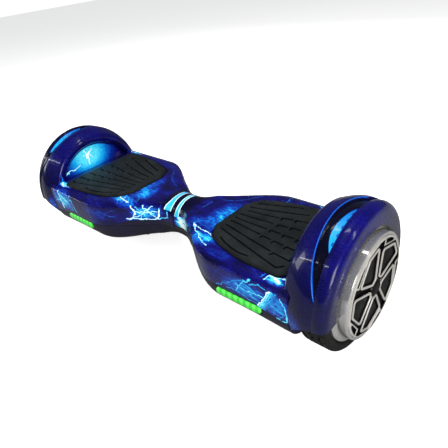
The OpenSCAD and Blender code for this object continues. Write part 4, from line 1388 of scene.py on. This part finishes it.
def add_floor():
    s = FLOOR_HALF
    mesh = bpy.data.meshes.new("floor")
    mesh.from_pydata([(-s, -s, 0), (s, -s, 0), (s, s, 0), (-s, s, 0)], [], [(0, 1, 2, 3)])
    floor = bpy.data.objects.new("floor", mesh)
    bpy.context.scene.collection.objects.link(floor)
    p = Paint("floor_paint")
    tone = p.noise(p.where, 0.002, 3.0)
    p.set(Base_Color=p.blend(tone, (0.90, 0.90, 0.90), (0.94, 0.94, 0.94)), Roughness=0.9,
          Emission_Color=(1.0, 1.0, 1.0), Emission_Strength=FLOOR_GLOW)
    dim = p.node("ShaderNodeBsdfDiffuse")
    p.put(dim.inputs["Color"], FLOOR_IN_GLOSS)
    p.tree.links.new(seen_or_lit(p.tree, p.skin, dim), p.out.inputs[0])
    mesh.materials.append(p.material)


def add_world():
    world = bpy.data.worlds.new("studio")
    world.use_nodes = True
    bpy.context.scene.world = world
    tree = world.node_tree
    tree.nodes.clear()
    out = tree.nodes.new("ShaderNodeOutputWorld")
    seen = tree.nodes.new("ShaderNodeBackground")
    room = tree.nodes.new("ShaderNodeBackground")
    seen.inputs["Color"].default_value = (1, 1, 1, 1)
    seen.inputs["Strength"].default_value = BACKDROP
    room.inputs["Color"].default_value = (0.90, 0.94, 1.0, 1)
    room.inputs["Strength"].default_value = ROOM_LIGHT
    tree.links.new(seen_or_lit(tree, seen, room), out.inputs[0])


add_camera()
add_floor()
add_world()
for box in SOFT_BOXES:
    add_area(*box, mirrored_in_gloss=False)
for strip in STRIPS:
    add_area(*strip)
add_strip("ridge_strip", (-0.3, -1.45, 1.5), (-2.6, -0.82, 0.84), (0, -0.09, 0.1), 0.035, 3.0)
bpy.context.scene.view_settings.view_transform = "Standard"
bpy.context.scene.view_settings.look = "None"

# ---- make every material ----
PAINTS = {
    "left_upper_shell": shell_paint("storm_left", LEFT),
    "right_upper_shell": shell_paint("storm_right", RIGHT),
    "lower_shell": lower_paint(),
    "foot_mat": mat_rubber(),
    "tyre": tyre_rubber(),
    "rotor": polished_drum(),
    "wheel_cover": face_silver(),
    "cover_inserts": plastic("cover_black", (0.004, 0.004, 0.004), 0.46, 0.3, 0.8, edge=0.6, gloss=0.12),
    "light_lens": green_lens(),
    "frame": metal("cast_frame", (0.55, 0.56, 0.58), 0.42, cast=1.0),
    "axle": metal("axle_steel", (0.62, 0.62, 0.63), 0.22, brushed="turned"),
    "stator": stator_iron(),
    "windings": copper_wire(),
    "magnets": metal("magnet_nickel", (0.70, 0.69, 0.66), 0.20, brushed="X", edge=0.3),
    "inner_cover": metal("inner_cover", (0.50, 0.51, 0.52), 0.36, brushed="turned"),
    "bearings": metal("bearing_steel", (0.66, 0.68, 0.70), 0.16, brushed="turned", edge=0.2),
    "axle_clamp": metal("clamp_alloy", (0.46, 0.47, 0.49), 0.34, brushed="Y"),
    "clamp_bolts": metal("black_bolt", (0.09, 0.09, 0.10), 0.34, cast=0.3),
    "shell_screws": metal("screw_zinc", (0.50, 0.51, 0.52), 0.28, cast=0.2),
    "mat_plungers": plastic("soft_rubber", (0.020, 0.020, 0.022), 0.62, 1.2, 0.9),
    "gyro_board": board_green("gyro_board"),
    "main_board": board_green("main_board"),
    "light_board": board_green("light_board"),
    "motor_cable": plastic("cable_sleeve", (0.014, 0.014, 0.015), 0.48, 0.6, 0.7),
    "cross_cable": plastic("cross_sleeve", (0.016, 0.016, 0.018), 0.50, 0.6, 0.7),
    "signal_harness": plastic("harness_braid", (0.020, 0.020, 0.022), 0.55, 1.4, 1.1),
    "pivot_tube": metal("tube_steel", (0.48, 0.49, 0.51), 0.28, brushed="turned"),
    "pivot_bushes": metal("bush_brass", (0.74, 0.50, 0.20), 0.26, brushed="turned"),
    "retaining_ring": metal("ring_steel", (0.14, 0.14, 0.15), 0.32, brushed="turned"),
    "limit_pin": metal("pin_steel", (0.40, 0.41, 0.42), 0.26, brushed="Z"),
    "neck_seal": plastic("seal_rubber", (0.008, 0.008, 0.010), 0.55, 0.8, 0.9),
    "heat_sink": metal("fin_alloy", (0.62, 0.63, 0.65), 0.32, brushed="X"),
    "battery_pack": battery_wrap(),
    "battery_strap": strap_web(),
    "power_button": plastic("button_red", (0.30, 0.010, 0.010), 0.24, 0.3, 0.8, edge=0.8),
    "button_housing": plastic("housing_black", (0.012, 0.012, 0.013), 0.34, 0.8, 0.9, wear=0.3, edge=0.8),
    "charge_socket": metal("socket_nickel", (0.60, 0.60, 0.61), 0.24, brushed="Y", edge=0.7),
    "charge_pins": metal("pin_brass", (0.80, 0.60, 0.26), 0.18, brushed="Y", edge=0.3),
    "charge_cap": plastic("cap_rubber", (0.014, 0.014, 0.015), 0.58, 1.0, 0.9, edge=0.8),
}


def paint_of(node):
    bare = node.removeprefix("left_").removeprefix("right_")
    return PAINTS.get(node) or PAINTS[bare]


for node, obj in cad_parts.items():
    material = paint_of(node)
    for s in obj.material_slots:
        s.link = "OBJECT"
        s.material = material

# ---- build and place the finished pieces ----
PAIRS = [
    ("upper_shell", upper_shell, "half", "gloss_shell", 30),
    ("foot_mat", foot_mat, "mat", "mat_rubber", 40),
    ("tyre", tyre, "wheel", "tyre", 50),
    ("rotor", rotor, "wheel", "polished_rim", 30),
    ("wheel_cover", wheel_cover, "wheel", "wheel_cover", 30),
    ("cover_inserts", cover_inserts, "wheel", "cover_inserts", 30),
    ("light_lens", lens, "half", "light_lens", 40),
]
for name, make, body, slot, angle in PAIRS:
    right = make()
    left = mirrored(right, "left")
    for side, obj in (("left", left), ("right", right)):
        node = f"{side}_{name}"
        deliver(obj, f"{node}_skin", f"{side}_{body}", paint_of(node), node, angle)
for side, sockets in (("left", False), ("right", True)):
    obj = lower_shell(sockets)
    if side == "left":
        mirror = mirrored(obj, "left")
        bpy.data.objects.remove(obj)
        obj = mirror
    node = f"{side}_lower_shell"
    deliver(obj, f"{node}_skin", f"{side}_half", PAINTS["lower_shell"], node, 34)
